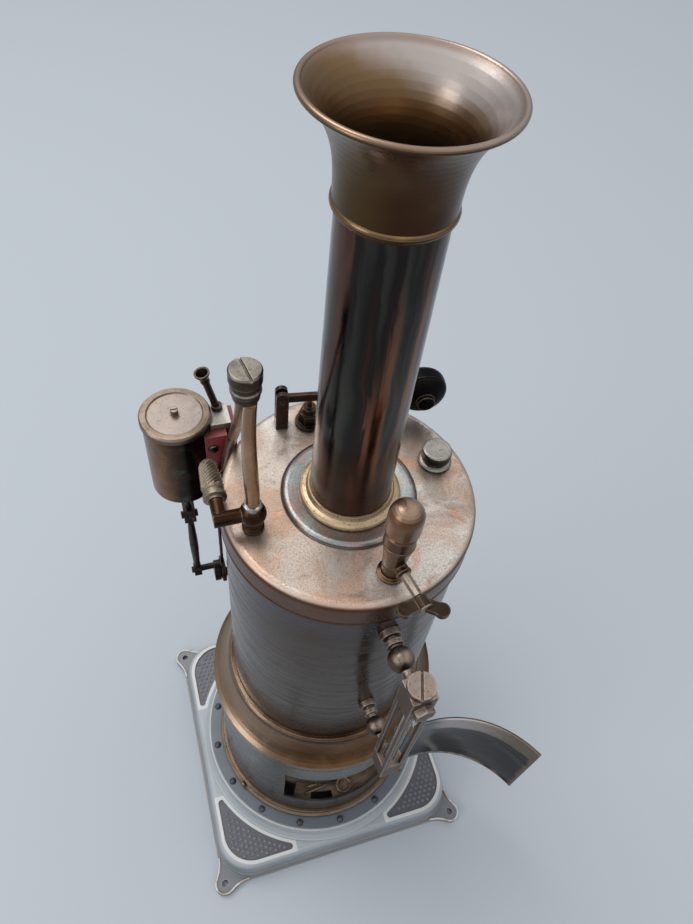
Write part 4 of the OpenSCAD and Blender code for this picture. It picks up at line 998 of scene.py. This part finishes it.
stand(knurl_mesh, HANDLE_FOOT, (0, 1, 0))
settle("handle_knurling", knurl_mesh, handle_bronze, "valve_handle", smooth=False)


# Steam pipes: soft copper tube bent by hand. One rises from the valve into the oil cup, soft
# soldered at its foot, and one falls from the cup to a union nut on the engine.
def bow_path(start, start_pull, end_pull, end, steps=44):
    """Points of a hand bend from start to end, pulled by two control points."""
    a, b, c, d = (Vector(p) for p in (start, start_pull, end_pull, end))
    parts = [(k / steps, 1 - k / steps) for k in range(steps + 1)]
    return [a * s ** 3 + b * 3 * t * s ** 2 + c * 3 * t * t * s + d * t ** 3 for t, s in parts]


UP_FOOT = (-0.03146, -0.00583, 0.25345)
UP_TOP = (-0.03135, -0.00605, 0.29665)
UP_R, UP_TOP_R = 0.0021, 0.0016
DOWN_TOP = (-0.03293, -0.00294, 0.296)
DOWN_END = (-0.0326, 0.03455, 0.217)
UNION_PLACE = (-0.0326, 0.03695, 0.217)
DOWN_R = 0.0016
UP_PULLS = ((-0.03146, -0.00583, 0.26745), (-0.03275, -0.00525, 0.28041))
DOWN_PULLS = ((-0.03125, 0.00714, 0.26986), (-0.03142, 0.03304, 0.239))
PIPE_SIDES = 28
pipe_brass = aged_brass(
    "pipe_brass", (0.25, 0.118, 0.047), (0.43, 0.245, 0.122), (0.6, 0.46, 0.32),
    gloss=0.2, speck=0.3, patch_scale=70.0, depth=0.006, dirt=1.0, coat=0.8,
)
pipe_copper = aged_brass(
    "pipe_copper", (0.18, 0.072, 0.028), (0.29, 0.128, 0.054), (0.5, 0.3, 0.15),
    gloss=0.22, speck=0.3, patch_scale=110.0, depth=0.006, dirt=1.0,
)
up_path = bow_path(UP_FOOT, *UP_PULLS, UP_TOP)
up_mesh = tube_mesh("steam_pipe_rising", up_path, lambda t: UP_R + (UP_TOP_R - UP_R) * t ** 3, PIPE_SIDES)
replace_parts(settle("steam_pipe_rising", up_mesh, pipe_brass), "steam_pipe_up")
down_path = bow_path(DOWN_TOP, *DOWN_PULLS, DOWN_END)
down_mesh = tube_mesh("steam_pipe_falling", down_path, DOWN_R, PIPE_SIDES)
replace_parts(settle("steam_pipe_falling", down_mesh, pipe_copper), "steam_pipe_down")
union_profile = chamfered(0.0026, 0.0034, 0.0003, 0.0003)
turned_piece("pipe_union", union_profile, 6, UNION_PLACE, (0, -1, 0), valve_bronze, smooth=False)

solder = Finish("soft_solder", (500.0, 2500.0, 0.0003), Metallic=0.9)
solder.colour = solder.mottle((0.62, 0.63, 0.62), (0.22, 0.22, 0.21))
soft_solder = solder.surface(solder.scaled(solder.patches, 0.2, 0.28), solder.grain(900.0, 3.0), 0.0002)
solder_profile = [(0, -0.0008), (0.00255, -0.0008), (0.0028, -0.0003), (0.0027, 0.0003),
                  (0.0023, 0.0007), (0, 0.0007)]
SOLDER_WAVES = ((0.00025, 3, 0.6), (0.00015, 7, 0.0))  # depth, count round the ring and start of each
solder_mesh = turned_mesh("solder_ring", solder_profile)
for corner in solder_mesh.vertices:
    turn = math.atan2(corner.co.y, corner.co.x)
    corner.co.z += sum(deep * math.sin(count * turn + start) for deep, count, start in SOLDER_WAVES)
settle("solder_ring", stand(solder_mesh, UP_FOOT, (0, 0, 1)), soft_solder)

# Oil cup: a turned bronze cup with a slotted cap, fixed on the pipe at the top of its bend. It is
# dark at the sides, and its cap is pale from wiping and from a painted highlight.
dress(aged_brass(
    "cup_bronze", (0.042, 0.028, 0.018), (0.08, 0.054, 0.036), (0.42, 0.38, 0.32),
    gloss=0.28, speck=0.6, patch_scale=200.0, dirt=1.0, wiped_and_lit=0.9,
), "dark_bronze", "oil_cup")

# Water gauge: two browned bronze fittings on the shell, which hold a glass tube in a cage of four
# straps. Their tops are wiped, and painted lighter as a highlight. The glass is clear but smeared.
dress(aged_brass(
    "gauge_bronze", (0.07, 0.043, 0.03), (0.135, 0.086, 0.06), (0.6, 0.48, 0.4), gloss=0.33, speck=0.7,
    patch_scale=150.0, dirt=1.0, wiped_and_lit=0.75, rubbed=1.0, edge_width=0.0009,
), "aged_bronze", "gauge_top_fitting", "gauge_bottom_fitting", "gauge_cage")
glass = Finish("gauge_glass", Base_Color=(0.93, 0.96, 0.95), Transmission_Weight=1.0, IOR=1.46)
dress(glass.surface(glass.scaled(glass.grain(220.0), 0.16, 0.0), edge=0.0001), "glass", "gauge_glass")

# Engine frame: the column that carries the cylinder, and the bracket of the shaft. Both are iron,
# painted red, with worn edges.
red = Finish("red_enamel", (90.0, 1400.0, 0.0006), 0.004, IOR=1.5, Coat_Weight=0.3, Coat_Roughness=0.2)
red.colour = red.mottle((0.29, 0.046, 0.05), (0.19, 0.03, 0.034))
red.coat((0.06, 0.012, 0.012), red.specks, 0.4)
# Dirt and painted shade: darkened where ambient occlusion finds corners.
red.coat((0.02, 0.008, 0.008), red.dirt, 0.85)
red.coat((0.33, 0.3, 0.28), red.rubbed)
red_enamel = red.surface(red.scaled(red.patches, 0.15, 0.28), red.grain(900.0), 0.00004)
dress(red_enamel, "red_enamel", "engine_column", "shaft_bracket")

# Chest screw: the domed bronze cap on the front of the steam chest, of the same dull bronze as the
# filler plug.
SCREW_PLACE = (-0.036, 0.037, 0.227)
screw_profile = [(0, -0.0004), (0.0017, -0.0004), (0.0017, 0.0005), (0.0014, 0.0009), (0, 0.001)]
turned_piece("chest_screw", screw_profile, 32, SCREW_PLACE, (0, -1, 0), dull_bronze)

# Cylinder: a bronze barrel gone nearly black, browner and worn on its outer side, under a pale
# brown lid with a turned groove, held by one screw.
CYLINDER_CENTRE = (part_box("cylinder_lid")[0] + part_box("cylinder_lid")[1]) / 2
CYLINDER_CENTRE.z = 0
CYLINDER_LID_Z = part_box("cylinder_lid")[0].z
CYLINDER_TURNED = {"Centre": CYLINDER_CENTRE, "Spacing": 3400.0}
LID_GROOVE_R = 0.0092
LID_SCREW_R = 0.0014


def blackened_barrel():
    """Black along the side that faces the boiler's front, orange brown where a hand would hold it."""
    barrel = Finish("barrel_bronze", (75.0, 1300.0, 0.0006), 0.004, CYLINDER_TURNED, Metallic=0.95)
    away = barrel.math("SUBTRACT", 1.0, barrel.facing(172))
    worn = barrel.spread(barrel.scaled(barrel.grain(120.0, 5.0), 0.7, away), 1.5, 0.6)
    brown = barrel.mottle((0.15, 0.068, 0.03), (0.26, 0.128, 0.062))
    barrel.colour = barrel.mottle((0.016, 0.012, 0.009), (0.036, 0.026, 0.018))
    barrel.coat(brown, worn)
    barrel.coat((0.06, 0.088, 0.08), barrel.spread(barrel.grain(170.0), 0.56, 0.66, 0.0, 0.5))
    barrel.coat((0.02, 0.014, 0.01), barrel.specks, 0.4)
    # Dirt and painted shade: darkened where ambient occlusion finds corners.
    barrel.coat((0.012, 0.009, 0.007), barrel.dirt, 0.8)
    barrel.coat((0.36, 0.25, 0.16), barrel.rubbed, 0.6)
    relief = barrel.scaled(barrel.lines, 0.5, barrel.grain(1200.0))
    return barrel.surface(barrel.scaled(barrel.patches, 0.12, 0.2), relief, 0.000025)


def grooved_lid():
    """Pale pinkish brown, with dark oil left in the turned groove and round the screw."""
    top = Finish("cylinder_lid_bronze", (110.0, 1300.0, 0.0006), None, CYLINDER_TURNED, Metallic=0.92)
    top.colour = top.mottle((0.2, 0.145, 0.1), (0.33, 0.255, 0.195))
    middle = top.mottle((0.32, 0.265, 0.23), (0.39, 0.315, 0.27))
    top.coat(middle, top.spread(top.reach, LID_GROOVE_R + 0.0008, LID_GROOVE_R))
    groove = top.spread(top.apart(top.reach, LID_GROOVE_R + 0.0001), 0.0007, 0.0001)
    screw_foot = top.spread(top.apart(top.reach, LID_SCREW_R), 0.0005, 0.0001)
    top.coat((0.1, 0.07, 0.048), top.math("MAXIMUM", groove, screw_foot), 0.55)
    under = top.spread(top.axes(top.place)[2], CYLINDER_LID_Z + 0.0018, CYLINDER_LID_Z + 0.0008)
    top.coat((0.11, 0.075, 0.05), under, 0.8)
    top.coat((0.12, 0.09, 0.07), top.specks, 0.6)
    top.coat((0.58, 0.49, 0.4), top.rubbed, 0.5)
    relief = top.scaled(top.lines, 0.5, top.grain(1200.0))
    return top.surface(top.scaled(top.patches, 0.12, 0.32), relief, 0.000025)


dress(blackened_barrel(), "dark_bronze", "engine_cylinder")
dress(grooved_lid(), "aged_bronze", "cylinder_lid")


# Chest cover, rods and shaft: plain steel, dulled grey and brown, oily and darkened with painted
# shade at the joints. The exhaust pipe and the eccentric's rod are dark bronze.
def dull_steel(name, pale, dark, gloss):
    """Bare steel with a brown-grey film."""
    steel = Finish(name, (160.0, 1500.0, 0.0005), 0.003, Metallic=0.95)
    steel.colour = steel.mottle(pale, dark)
    steel.coat(part_of(dark, 0.4), steel.specks, 0.6)
    # Dirt and painted shade: darkened where ambient occlusion finds corners.
    steel.coat((0.015, 0.012, 0.01), steel.dirt, 0.85)
    steel.coat(tuple(min(1.5 * c, 0.8) for c in pale), steel.rubbed, 0.7)
    return steel.surface(steel.scaled(steel.patches, 0.15, gloss), steel.grain(1300.0), 0.00003)


chest_steel = dull_steel("chest_steel", (0.56, 0.54, 0.5), (0.42, 0.4, 0.36), 0.36)
rod_steel = dull_steel("rod_steel", (0.042, 0.034, 0.031), (0.02, 0.016, 0.015), 0.28)
dress(chest_steel, "steel", "chest_cover")
dress(rod_steel, "steel", "piston_rod", "connecting_rod", "crankshaft", "valve_spindle")
dress(dark_bronze, "dark_bronze", "exhaust_pipe", "eccentric_rod")

# Flywheel: a spoked iron wheel, fixed on the shaft's far end. It is black, with its edges rubbed to
# bare iron.
wheel_iron = dull_steel("wheel_iron", (0.06, 0.06, 0.062), (0.03, 0.03, 0.032), 0.34)
dress(wheel_iron, "black_iron", "flywheel")
